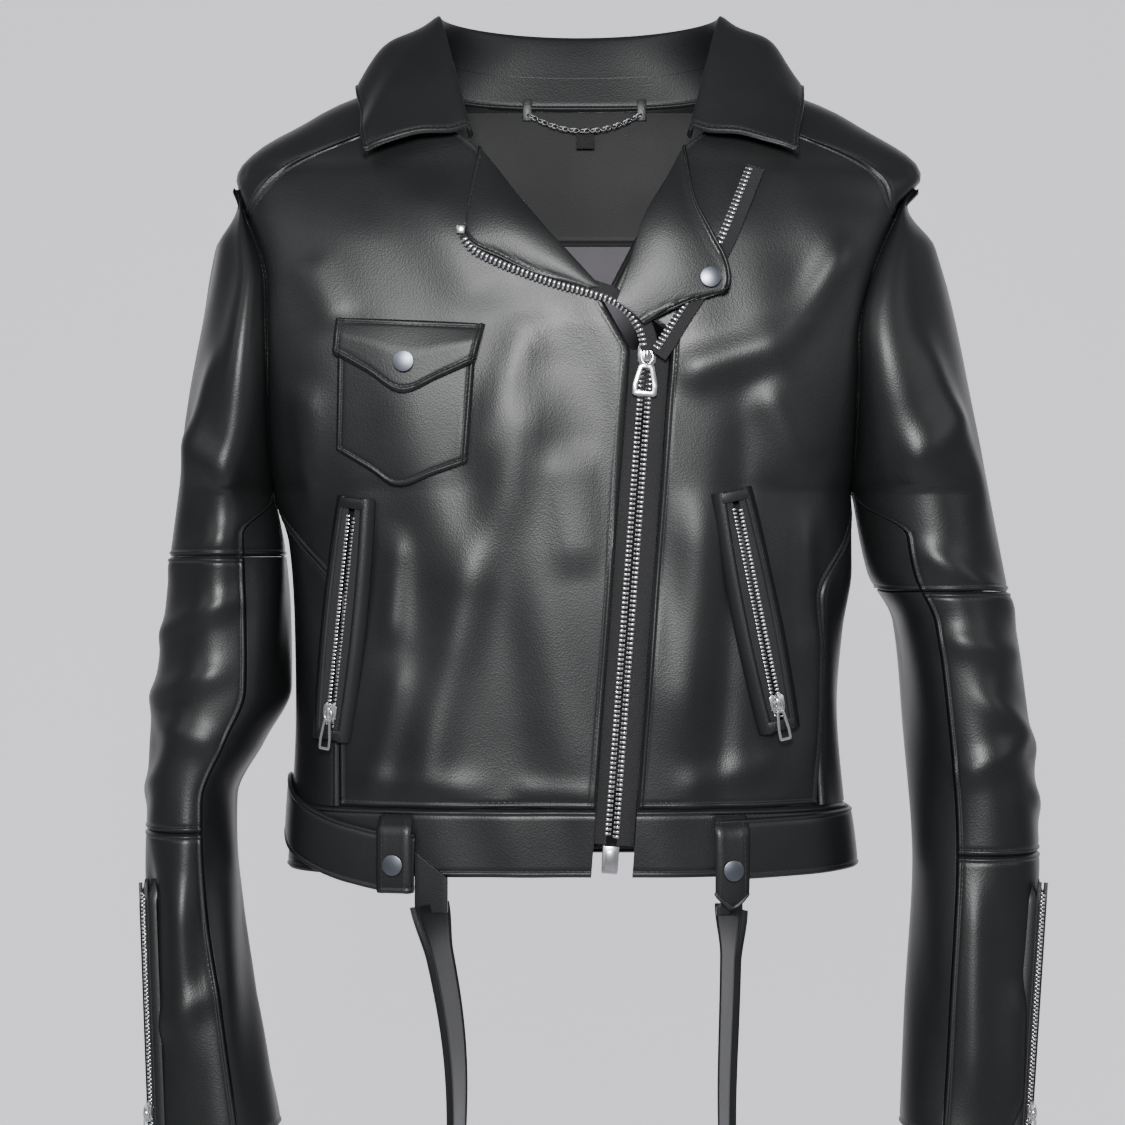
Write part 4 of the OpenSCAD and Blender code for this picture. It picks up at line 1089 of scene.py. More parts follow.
@dataclass
class Sleeve:
    """One sleeve: cap, under sleeve, elbow panel and the two halves of the forearm."""

    form: ArmForm
    top_seam: float
    folds: Sequence[Fold]

    def carrier(self) -> Carrier:
        """A carrier that names the bend across the elbow; the bend itself is not set up here."""
        elbow, y = self.form.elbow * MM, FORM.mid_y * MM
        x = self.form.side.value * .235
        return Carrier("jacket", f"forearm_{self.form.side.word}_body",
                       (x, y, elbow + .035), (x, y, elbow - .045))

    def open_a(self, z: np.ndarray) -> np.ndarray:
        """Angle of the under seam, which opens below the armpit."""
        return 3 + (self.form.seam_a - 3) * step((self.form.armpit - z) / 30)

    def lift(self, a: np.ndarray, z: np.ndarray) -> np.ndarray:
        """Folds, with the arc length round the arm as their first coordinate."""
        b = np.where(a < -180, a + 360, a)
        round_way = np.sign(b) * (180 - np.abs(b)) * .8
        seed = 31 if self.form.side is Side.RIGHT else 37
        lift = drape(self.folds, round_way, z, seed, 1.2)
        return lift * step((-58 - z) / 50) * step((z - self.form.cuff + 4) / 30 + .4)

    def surface(self, low: Callable[[np.ndarray], np.ndarray],
                high: Callable[[np.ndarray], np.ndarray], z0: float, z1: float) -> Point:
        """Make the surface function of a sleeve panel between two angles and heights."""
        def at(u: np.ndarray, v: np.ndarray) -> np.ndarray:
            """Point at u round and v up."""
            z = lerp(z0 + GAP / 2, z1 - GAP / 2, v)
            a = lerp(low(z), high(z), u)
            b = np.where(a < -180, a + 360, a)
            return self.form.at(b, z) + self.lift(a, z)[..., None] * self.form.normal(b, z)
        return at

    def core(self, at: Point) -> Point:
        """Points on the arm's core line."""
        def core(u: np.ndarray, v: np.ndarray) -> np.ndarray:
            """Core point beside the surface."""
            p = at(u, v)
            z = p[..., 2]
            x = self.form.side.value * (self.form.reach(z) + np.where(
                z > self.form.armpit, FORM.half_width(self.form.side.value, z),
                smooth(z, self.form.inner))) / 2
            y = FORM.mid_y - smooth(z, self.form.forward)
            return np.stack([x, np.broadcast_to(y, z.shape), z], -1)
        return core

    def cut(self, name: str, low: Callable[[np.ndarray], np.ndarray],
            high: Callable[[np.ndarray], np.ndarray], z0: float, z1: float, width: float,
            sewn: str) -> None:
        """Cut and sew one panel of the sleeve."""
        at = self.surface(low, high, z0, z1)
        node = f"{name}_{self.form.side.word}"
        Cut(f"{node}_leather", at, self.core(at), width, z1 - z0, sewn, pitch=3.8,
            carrier=self.carrier(), nodes=(node,)).make()

    def build(self) -> None:
        """Cut and sew every panel of the sleeve."""
        form, top, low = self.form, self.top_seam, self.form.low_seam

        def first(z: np.ndarray) -> np.ndarray:
            """Front edge of the cap and the outer panels."""
            return np.where(z > form.armpit, -1.2, -self.open_a(z) - .3)

        def last(z: np.ndarray) -> np.ndarray:
            """Back edge of the cap and the outer panels."""
            return -360 - first(z)

        def under_first(z: np.ndarray) -> np.ndarray:
            """Front edge of the under panels."""
            return -self.open_a(z)

        def under_last(z: np.ndarray) -> np.ndarray:
            """Back edge of the under panels."""
            return self.open_a(z)
        self.cut("upper_sleeve", last, first, top, form.cap_top, 270, "lrb")
        self.cut("under_sleeve", under_first, under_last, top, form.armpit - 1, 90, "b")
        self.cut("elbow_panel", last, first, low, top, 200, "lrtb")
        self.cut("forearm", last, first, form.cuff, low, 180, "lrtb")
        self.cut("under_forearm", under_first, under_last, form.cuff, top, 90, "b")


def sleeves() -> list[Sleeve]:
    """Describe both sleeves."""
    right = ArmForm(Side.RIGHT, ((-648, 187), (-571, 203), (-514, 213), (-445, 219),
                                 (-410, 202), (-376, 185), (-334, 186), (-285, 189), (-250, 196.5)),
                    ((-648, 267), (-565, 270), (-463, 275), (-415, 273), (-344, 266), (-301, 262),
                     (-233, 254), (-133, 239), (-72, 228), (-50, 221)), -330, -464)
    left = ArmForm(Side.LEFT, ((-648, 200), (-576, 205), (-477, 211), (-394, 207), (-334, 200),
                               (-303, 184), (-250, 175.5)),
                   ((-648, 277), (-590, 284), (-528, 289.5), (-461, 291), (-362, 282), (-298, 270),
                    (-184, 248), (-123, 235), (-72, 222), (-50, 219)), -346, -478)
    right_folds = [
        Fold((-90, -250), (-30, -215), 12, 3.6), Fold((-60, -170), (-40, -250), 12, 3.2),
        Fold((-85, -280), (-20, -300), 9, 2.8), Fold((-88, -320), (-10, -345), 8, 3.2),
        Fold((-80, -365), (0, -385), 9, 3.4), Fold((-90, -410), (-20, -395), 8, 2.8),
        Fold((-40, -430), (30, -450), 8, 2.4), Fold((-70, -500), (-60, -600), 13, 3.6),
        Fold((-30, -480), (-26, -600), 10, -2.4), Fold((40, -330), (90, -370), 9, 3.0),
        Fold((30, -380), (90, -410), 9, 2.6), Fold((10, -100), (4, -240), 16, 2.0),
        Fold((60, -500), (56, -610), 12, 2.6), Fold((-90, -560), (-20, -590), 9, 2.0),
    ]
    left_folds = [
        Fold((-90, -240), (-40, -200), 12, 3.2), Fold((-66, -160), (-30, -260), 12, 3.4),
        Fold((-88, -290), (-10, -330), 9, 3.2), Fold((-90, -345), (-20, -355), 8, 2.8),
        Fold((-70, -380), (0, -420), 9, 3.4), Fold((-90, -430), (-30, -405), 8, 2.6),
        Fold((-30, -440), (30, -465), 8, 2.6), Fold((-44, -560), (-36, -640), 12, 4.2),
        Fold((-80, -500), (-74, -620), 10, 2.8), Fold((-10, -500), (-6, -610), 12, -2.6),
        Fold((40, -340), (90, -380), 9, 3.0), Fold((30, -400), (90, -425), 9, 2.6),
        Fold((10, -100), (4, -240), 16, 2.0), Fold((60, -520), (56, -620), 12, 2.6),
    ]
    return [Sleeve(right, -293, right_folds), Sleeve(left, -315, left_folds)]


# ---------------------------------------------------------------- patches on the front
def curve(points: Sequence[Sequence[float]], t: np.ndarray) -> np.ndarray:
    """Read a smooth curve through points by share of its length.

    Args:
        points: the points it goes through.
        t: places from 0 to 1.

    Returns:
        Points on the curve.
    """
    pts = np.array(points, float)
    run = np.concatenate([[0], np.cumsum(np.linalg.norm(np.diff(pts, axis=0), axis=1))])
    run = run / run[-1]
    return np.stack([smooth(t, list(zip(run, pts[:, i]))) for i in range(pts.shape[1])], -1)


def coons(left: Sequence, right: Sequence, bottom: Sequence, top: Sequence,
          u: np.ndarray, v: np.ndarray) -> np.ndarray:
    """Fill four boundary curves.

    Args:
        left: points of the edge at u 0, from the bottom up.
        right: points of the edge at u 1, from the bottom up.
        bottom: points of the edge at v 0, from left to right.
        top: points of the edge at v 1, from left to right.
        u: places across.
        v: places up.

    Returns:
        Points of the patch.
    """
    cl, cr, cb, ct = curve(left, v), curve(right, v), curve(bottom, u), curve(top, u)
    u, v = u[..., None], v[..., None]
    c = [np.array(p, float) for p in (bottom[0], bottom[-1], top[0], top[-1])]
    flat = (lerp(lerp(c[0], c[1], u), lerp(c[2], c[3], u), v))
    return lerp(cl, cr, u) + lerp(cb, ct, v) - flat


@dataclass
class Patch:
    """A stitched leather patch that lies on the front, bounded by four curves in X and Z."""

    name: str
    left: Sequence
    right: Sequence
    bottom: Sequence
    top: Sequence
    off: float
    size: tuple[float, float]
    carrier: Carrier = JACKET
    nodes: tuple[str, ...] = ()
    bow: Optional[Point] = None
    sewn: str = "lrtb"
    thick: float = 2.2
    follow: float = 1.

    def at(self, u: np.ndarray, v: np.ndarray) -> np.ndarray:
        """Point of the patch."""
        p = coons(self.left, self.right, self.bottom, self.top, u, v)
        high = self.off + (self.bow(u, v) if self.bow else 0.)
        folds = self.follow * drape(TORSO_FOLDS, p[..., 0], p[..., 1], 3)
        return FORM.on_front(p[..., 0], p[..., 1], high + np.maximum(folds, -.5))

    def build(self) -> bpy.types.Object:
        """Cut and sew the patch."""
        return Cut(self.name, self.at, middle(self.at), *self.size, self.sewn, self.thick, 3.4,
                   carrier=self.carrier, nodes=self.nodes).make()


def edge_frames(points: Sequence, off: float, pitch: float, inset: float = 1.) -> Frames:
    """Frames along a curve on the front, in X and Z, raised by off."""
    path = curve(points, np.linspace(0, 1, 60))
    line = FORM.on_front(path[:, 0], path[:, 1], np.maximum(drape(
        TORSO_FOLDS, path[:, 0], path[:, 1], 3), -.5) + off)
    out = FORM.normal(FORM.angle(path[:, 0], path[:, 1]), path[:, 1])
    return Frames.on_line(line, out, pitch, inset)


# ---------------------------------------------------------------- hardware tools
def slab(outline: Sequence[tuple[float, float]], thick: float, bevel: float,
         window: float = 0.) -> bpy.types.Object:
    """Model a flat plate from an outline, with an optional window.

    Args:
        outline: corners in millimetres, anticlockwise.
        thick: thickness.
        bevel: width of its rounded edges.
        window: width of the frame round the window; 0 leaves the plate solid.

    Returns:
        The plate, in millimetres round the origin: X across, Y up, Z out.
    """
    deselect()
    bpy.ops.mesh.primitive_circle_add(vertices=len(outline), radius=1, fill_type="NGON")
    obj = bpy.context.object
    for vertex, (x, y) in zip(obj.data.vertices, outline):
        vertex.co = (x, y, 0)
    bpy.ops.object.mode_set(mode="EDIT")
    bpy.ops.mesh.select_all(action="SELECT")
    if window:
        bpy.ops.mesh.inset(thickness=window)
        bpy.ops.mesh.delete(type="FACE")
        bpy.ops.mesh.select_all(action="SELECT")
    bpy.ops.mesh.normals_make_consistent(inside=False)
    bpy.ops.object.mode_set(mode="OBJECT")
    wall = obj.modifiers.new("wall", "SOLIDIFY")
    wall.thickness = thick
    wall.offset = 0
    rim = obj.modifiers.new("rim", "BEVEL")
    rim.width = bevel
    rim.segments = 2
    rim.limit_method = "ANGLE"
    apply_modifiers(obj)
    return obj


def rod(points: np.ndarray, radius: float, closed: bool = False,
        sides: int = 3) -> bpy.types.Object:
    """Model a round rod along points, in millimetres.

    Args:
        points: points of its middle line.
        radius: its radius.
        closed: whether it is a ring.
        sides: resolution of its section.

    Returns:
        The rod as a mesh.
    """
    data = bpy.data.curves.new("rod", "CURVE")
    data.dimensions = "3D"
    data.bevel_depth = radius
    data.bevel_resolution = sides
    data.use_fill_caps = not closed
    spline = data.splines.new("POLY")
    spline.points.add(len(points) - 1)
    spline.points.foreach_set("co", np.c_[points, np.ones(len(points))].ravel())
    spline.use_cyclic_u = closed
    obj = bpy.data.objects.new("rod", data)
    bpy.context.collection.objects.link(obj)
    deselect()
    bpy.context.view_layer.objects.active = obj
    obj.select_set(True)
    bpy.ops.object.convert(target="MESH")
    return bpy.context.object


def dome(radius: float, height: float) -> bpy.types.Object:
    """Model a snap cap: a rolled rim, a groove and a shallow dome, in millimetres."""
    deselect()
    bpy.ops.mesh.primitive_cylinder_add(vertices=40, radius=radius, depth=height * .45,
                                        location=(0, 0, height * .225))
    obj = bpy.context.object
    bpy.ops.object.transform_apply(location=True)
    for face in obj.data.polygons:
        face.select = face.normal.z > .9
    bpy.ops.object.mode_set(mode="EDIT")
    for share, rise in ((.1, .18), (.12, -.12), (.06, .3), (.2, .12), (.2, .05), (.2, .02)):
        bpy.ops.mesh.inset(thickness=radius * share)
        bpy.ops.transform.translate(value=(0, 0, height * rise))
    bpy.ops.object.mode_set(mode="OBJECT")
    rim = obj.modifiers.new("rim", "BEVEL")
    rim.width = height * .1
    rim.segments = 2
    rim.limit_method = "ANGLE"
    rim.angle_limit = math.radians(50)
    apply_modifiers(obj)
    return obj


def mount(parts: Sequence[bpy.types.Object], name: str, place: Sequence[float],
          axes: Sequence[Sequence[float]], finish: Finish, carrier: Carrier,
          nodes: Sequence[str] = ()) -> bpy.types.Object:
    """Join parts made round the origin and put them at their place.

    Args:
        parts: the parts, in millimetres: X across, Y up, Z out.
        name: name of the piece.
        place: its origin in millimetres.
        axes: unit vectors of its X, Y and Z.
        finish: its finish.
        carrier: what it rides on.
        nodes: CAD nodes that it stands for.

    Returns:
        The finished piece.
    """
    deselect()
    for part in parts:
        part.select_set(True)
    bpy.context.view_layer.objects.active = parts[0]
    if len(parts) > 1:
        bpy.ops.object.join()
    obj = bpy.context.object
    obj.name = obj.data.name = name
    basis = Matrix([list(a) for a in axes]).transposed().to_4x4()
    obj.data.transform(Matrix.Scale(MM, 4) @ Matrix.Translation(Vector(place)) @ basis)
    settle(obj, 35)
    dress(obj, finish)
    if nodes:
        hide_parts(*nodes)
    carrier.take(obj)
    return obj


def moved(obj: bpy.types.Object, x: float = 0., y: float = 0., z: float = 0.,
          turn: Optional[tuple[float, str]] = None) -> bpy.types.Object:
    """Turn and shift a part's mesh before it is mounted."""
    if turn:
        obj.data.transform(Matrix.Rotation(math.radians(turn[0]), 4, turn[1]))
    obj.data.transform(Matrix.Translation((x, y, z)))
    return obj


# ---------------------------------------------------------------- zips
@dataclass
class Zip:
    """A closed run of zip: two rows of teeth on tapes, a slider and a puller."""

    name: str
    top: np.ndarray
    up: np.ndarray
    out: np.ndarray
    length: float
    chain: float
    gap: float
    thick: float
    pitch: float
    slider_at: float
    puller_size: tuple[float, float, float]
    carrier: Carrier
    slider_body: str
    puller_body: str
    slider_nodes: tuple[str, ...]
    puller_nodes: tuple[str, ...]
    row_nodes: tuple[str, ...] = ()
    start: float = 0.
    tape: float = 12.
    arc: float = 0.

    @property
    def across(self) -> np.ndarray:
        """Unit vector across the chain."""
        return np.cross(self.up, self.out)

    def place(self, down: float, across: float = 0., out: float = 0.) -> np.ndarray:
        """A place on the zip, in millimetres."""
        return self.top - self.up * down + self.across * across + self.out * out

    def rows(self) -> None:
        """Clamp two rows of meshing teeth along the chain."""
        count = int((self.length - self.start - 2) / self.pitch)
        wide = (self.chain - self.gap) / 2
        for side, shift in ((-1, 0.), (1, .5)):
            downs = self.start + 1 + (np.arange(count) + shift) * self.pitch
            place = np.array([self.place(d, side * (self.chain / 2 - wide * .5)) for d in downs])
            ones = np.ones((count, 1))
            frames = Frames(place, ones * self.up, ones * -side * self.across, ones * self.out)
            tooth = PATTERNS.tooth(wide * 1.05, self.pitch * 1.06, self.thick)
            word = "right" if side < 0 else "left"
            row = copies(f"{self.name}_teeth_{word}", tooth, frames, NICKEL, self.carrier)
            if self.row_nodes and side < 0:
                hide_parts(*self.row_nodes)

    def tapes(self) -> None:
        """Lay a woven tape with a raised cord at each side of the chain."""
        for side in (-1, 1):
            word = "right" if side < 0 else "left"
            edge = side * (self.chain / 2 - .6)
            low, high = sorted((edge, edge + side * (self.tape - 2)))
            ribs = [self.place(self.start / 2, edge + side * .5, 0),
                    self.place(self.length, edge + side * .5, 0)]
            tape = slab([(low, -self.length), (high, -self.length), (high, 2), (low, 2)], .7, .12)
            nodes = (f"zip_tape_{word}",) if self.name == "main_zip" else ()
            mount([tape], f"{self.name}_tape_{word}", self.top,
                  (self.across, self.up, self.out), TAPE, self.carrier, nodes)
            cord = rod(np.array(ribs), .75)
            mount([cord], f"{self.name}_cord_{word}", (0, 0, 0),
                  ((1, 0, 0), (0, 1, 0), (0, 0, 1)), TAPE, self.carrier)

    def slider(self) -> None:
        """Model the slider: two tapered plates, a neck and an arched bridge."""
        w, l = self.chain / 2 + 1.7, (self.chain + 6) / 2
        shape = [(-w * .72, -l), (w * .72, -l), (w, -l * .2), (w, l * .62), (w * .5, l),
                 (w * .18, l * .74), (-w * .18, l * .74), (-w * .5, l), (-w, l * .62),
                 (-w, -l * .2)]
        face = self.thick / 2 + .95
        front = moved(slab(shape, 1.15, .3), z=face)
        back = moved(slab(shape, 1.15, .3), z=-face)
        post = moved(slab([(-.5, -l * .3), (.5, -l * .3), (.5, l * .7), (-.5, l * .7)],
                          2 * face, .1), z=0)
        t = np.linspace(0, math.pi, 13)
        arch = np.c_[np.zeros(13), l * .62 * np.cos(t), face + 2.6 * np.sin(t) ** .5]
        bridge = rod(arch, self.chain * .11)
        for vertex in bridge.data.vertices:
            vertex.co.x *= 1.7
        lips = [moved(slab([(-.45, -l * .7), (.45, -l * .7), (.45, l * .5), (-.45, l * .5)],
                           1.9, .25), x=side * (w - .75), z=face * .55) for side in (-1, 1)]
        mount([front, back, post, bridge, *lips], f"{self.name}_slider", self.place(self.slider_at),
              (self.across, self.up, self.out), NICKEL, Carrier(self.slider_body),
              self.slider_nodes)

    def puller(self) -> None:
        """Model the puller: an eye on the bridge and a windowed, tapered plate below it."""
        wide, tall, eye = self.puller_size
        out = self.thick / 2 + 3.1
        turn = np.linspace(0, 2 * math.pi, 21)[:-1]
        ring = rod(np.c_[eye * .5 * np.cos(turn), -eye * .28 + eye * .62 * np.sin(turn),
                         np.zeros(20)], .62, True)
        top, low = -eye * .85, -eye * .85 - tall
        n, m = wide * .32, wide * .5
        shape = [(-m * .8, low), (m * .8, low), (m, low + 1.2), (m, low + tall * .35),
                 (n, top - 1.6), (n * .6, top), (-n * .6, top), (-n, top - 1.6),
                 (-m, low + tall * .35), (-m, low + 1.2)]
        plate = slab(shape, 1.5, .32, window=wide * .2)
        mount([moved(ring, z=out), moved(plate, z=out)], f"{self.name}_puller",
              self.place(self.slider_at), (self.across, self.up, self.out), NICKEL,
              Carrier(self.puller_body), self.puller_nodes)

    def build(self) -> None:
        """Build every part of the zip."""
        self.rows()
        self.tapes()
        self.slider()
        self.puller()
        LOG.info("%s: zip built", self.name)


@dataclass
class MainZip:
    """The slanted front zip, its open rows above the slider and its bottom stop."""

    y: float = -105.8
    chain: float = 8.4
    gap: float = 1.6
    thick: float = 2.6
    pitch: float = 2.9
    left_row: Sequence = ((44.5, -168), (50, -160), (56, -150), (70, -128), (86, -98), (97, -72),
                          (105, -52))
    right_row: Sequence = ((38.6, -167), (37.4, -159), (31.3, -147), (21.4, -138.6), (4.3, -132.2),
                           (-15.6, -126.6), (-32.9, -120.4), (-51.5, -113.2), (-67, -104.6),
                           (-72.6, -97))

    def build(self) -> None:
        """Build the closed chain, the open rows, the box and the stops."""
        up = CHAIN_TOP - CHAIN_END
        length = float(np.linalg.norm(up))
        up = up / length
        out = np.array([0, -1., 0])
        Zip("main_zip", CHAIN_TOP, up, out, length, self.chain, self.gap, self.thick, self.pitch,
            0., (15, 20, 7), JACKET, "main_slider_body", "main_puller_body", ("main_slider",),
            ("main_puller",), ("zip_teeth",), 7., 12.).build()
        for name, row, off, turn in (("left", self.left_row, 4.2, 1), ("right", self.right_row,
                                                                       3.2, 1)):
            self.open_row(name, row, off, turn)
        stop = slab([(-2.6, -2.6), (2.6, -2.6), (2.6, 2.6), (-2.6, 2.6)], 3.2, .7)
        place = FORM.on_front(np.float64(-73), np.float64(-93.6), 4.6)
        mount([stop], "main_zip_top_stop", place, (np.cross(up, out), up, out), NICKEL, JACKET)
        box = slab([(-4.9, -17), (4.9, -17), (5.2, -14), (5.2, 0), (-5.2, 0), (-5.2, -14)], 4.6, .6)
        rib = moved(slab([(-3.2, -14.5), (3.2, -14.5), (3.2, -3), (-3.2, -3)], 1., .25), z=2.5)
        mount([box, rib], "main_zip_box", CHAIN_END - up * .6,
              (np.cross(up, out), up, out), NICKEL, JACKET, ("zip_stops",))

    def open_row(self, name: str, points: Sequence, off: float, turn: int) -> None:
        """Clamp a free row of teeth on its tape along a curve of the front."""
        frames = edge_frames(points, off, self.pitch, 2.)
        frames = Frames(frames.place, frames.along, frames.across * turn, frames.out)
        tooth = PATTERNS.tooth((self.chain - self.gap) / 2 * 1.3, self.pitch * 1.06, self.thick)
        copies(f"main_zip_open_row_{name}", tooth, frames, NICKEL, JACKET)
        path = curve(points, np.linspace(0, 1, 30))
        ahead = np.gradient(path, axis=0)
        side = np.stack([-ahead[:, 1], ahead[:, 0]], -1) / np.linalg.norm(
            ahead, axis=1, keepdims=True) * turn

        def at(u: np.ndarray, v: np.ndarray) -> np.ndarray:
            """Point of the tape beside the row."""
            spot = np.stack([np.interp(v, np.linspace(0, 1, 30), path[:, i])
                             for i in (0, 1)], -1)
            away = np.stack([np.interp(v, np.linspace(0, 1, 30), side[:, i]) for i in (0, 1)], -1)
            spot = spot + away * lerp(-9., 1.6, u)[..., None]
            folds = drape(TORSO_FOLDS, spot[..., 0], spot[..., 1], 3)
            return FORM.on_front(spot[..., 0], spot[..., 1], np.maximum(folds, -.5) + off - .3)
        Cut(f"main_zip_open_tape_{name}", at, middle(at), 11, 110, "", .7, 2.5,
            finish=TAPE).make()


@dataclass
class SlantPocket:
    """A zipped hand pocket: leather welts that bow open round its zip, and leather stays at its
    ends.
    """

    side: Side
    top: tuple[float, float]
    bottom: tuple[float, float]
    length: float = 140
    stand: float = 4.8
    welt: float = 9

    def zip(self) -> Zip:
        """Place the pocket's zip."""
        a = FORM.on_front(np.float64(self.top[0]), np.float64(self.top[1]), self.stand)
        b = FORM.on_front(np.float64(self.bottom[0]), np.float64(self.bottom[1]), self.stand)
        up = unit(a - b)
        mid = (np.array(self.top) + np.array(self.bottom)) / 2
        n = FORM.front_normal(*mid)
        n = unit(n - n.dot(up) * up)
        word = self.side.word
        return Zip(f"hand_pocket_{word}", a, up, n, self.length, 6., 1.6, 2., 2.4,
                   self.length - 12, (8, 19, 5), JACKET, f"pocket_slider_{word}_body",
                   f"pocket_puller_{word}_body", (f"pocket_slider_{word}",),
                   (f"pocket_puller_{word}",), (f"pocket_zip_{word}",), 5., 8.)

    def build(self) -> None:
        """Build the zip, both welts and the stays at its ends."""
        zipper = self.zip()
        zipper.build()
        for s, word in ((-1, "outer"), (1, "inner")):
            def at(u: np.ndarray, v: np.ndarray, s: int = s) -> np.ndarray:
                """Point of a welt, which rolls from the leather up to the zip."""
                bow = 4.6 + 2.6 * np.sin(np.pi * v) ** .8
                across = s * lerp(bow, bow + self.welt, u)
                high = 2.2 * np.sin(np.pi * np.clip(u * 1.05, 0, 1)) ** .6 - 4.4 * u ** 1.5
                down = lerp(self.length + 6, -6, v)
                base = (zipper.top - down[..., None] * zipper.up
                        + across[..., None] * zipper.across)
                return base + (high + .2)[..., None] * zipper.out

            def core(u: np.ndarray, v: np.ndarray, at: Point = at) -> np.ndarray:
                """Points behind the welt."""
                return at(u, v) - 30 * zipper.out
            Cut(f"pocket_welt_{self.side.word}_{word}", at, core, self.welt + 2, self.length,
                "l", 1.6, 3.,
                nodes=(f"pocket_welt_{self.side.word}",) if s < 0 else ()).make()
        for end, y0 in (("top", 2.), ("bottom", -self.length - 2)):
            bar = slab([(-8.5, y0 - 3.2), (8.5, y0 - 3.2), (8.5, y0 + 3.2), (-8.5, y0 + 3.2)],
                       1.8, .7)
            mount([bar], f"pocket_stay_{self.side.word}_{end}", zipper.top + zipper.out * .9,
                  (zipper.across, zipper.up, zipper.out), LEATHER, JACKET)


@dataclass
class CuffZip:
    """The zip on the outer edge of a forearm, with leather rolled up to it."""

    sleeve: Sleeve
    stand: float
    angle: float = -148
    length: float = 150

    def build(self) -> None:
        """Build the zip and its two rolled edges."""
        form, word = self.sleeve.form, self.sleeve.form.side.word
        ends = []
        for z in (form.cuff + self.length, form.cuff + 2):
            a, zz = np.float64(self.angle), np.float64(z)
            ends.append(form.at(a, zz) + self.stand * form.normal(a, zz))
        up = unit(ends[0] - ends[1])
        n = form.normal(np.float64(self.angle), np.float64(form.cuff + 2 + self.length / 2 - 1))
        n = unit(n - n.dot(up) * up)
        carrier = Carrier(f"forearm_{word}_body")
        zipper = Zip(f"cuff_zip_{word}", ends[0], up, n, self.length, 6., 1.6, 2., 2.4,
                     self.length - 12, (8, 17, 5), carrier, f"cuff_slider_{word}_body",
                     f"cuff_puller_{word}_body", (f"cuff_slider_{word}",),
                     (f"cuff_puller_{word}",), (f"cuff_zip_{word}",), 4., 8.)
        zipper.build()
        for s, name in ((-1, "back"), (1, "front")):
            def at(u: np.ndarray, v: np.ndarray, s: int = s) -> np.ndarray:
                """Point of a rolled edge beside the zip."""
                across = s * lerp(4.4, 11.5, u)
                high = 1.9 * np.sin(np.pi * np.clip(u, 0, 1)) ** .6 - (self.stand + 1.6) * u ** 1.6
                high = high - (self.stand + 1) * (1 - step((1 - v) / .1))
                down = lerp(self.length - 1, -4, v)
                return (zipper.top - down[..., None] * up + across[..., None] * zipper.across
                        + (high + .1)[..., None] * n)

            def core(u: np.ndarray, v: np.ndarray, at: Point = at) -> np.ndarray:
                """Points behind the edge."""
                return at(u, v) - 30 * n
            Cut(f"cuff_edge_{word}_{name}", at, core, 9, self.length, "l", 1.6, 3.,
                carrier=carrier).make()


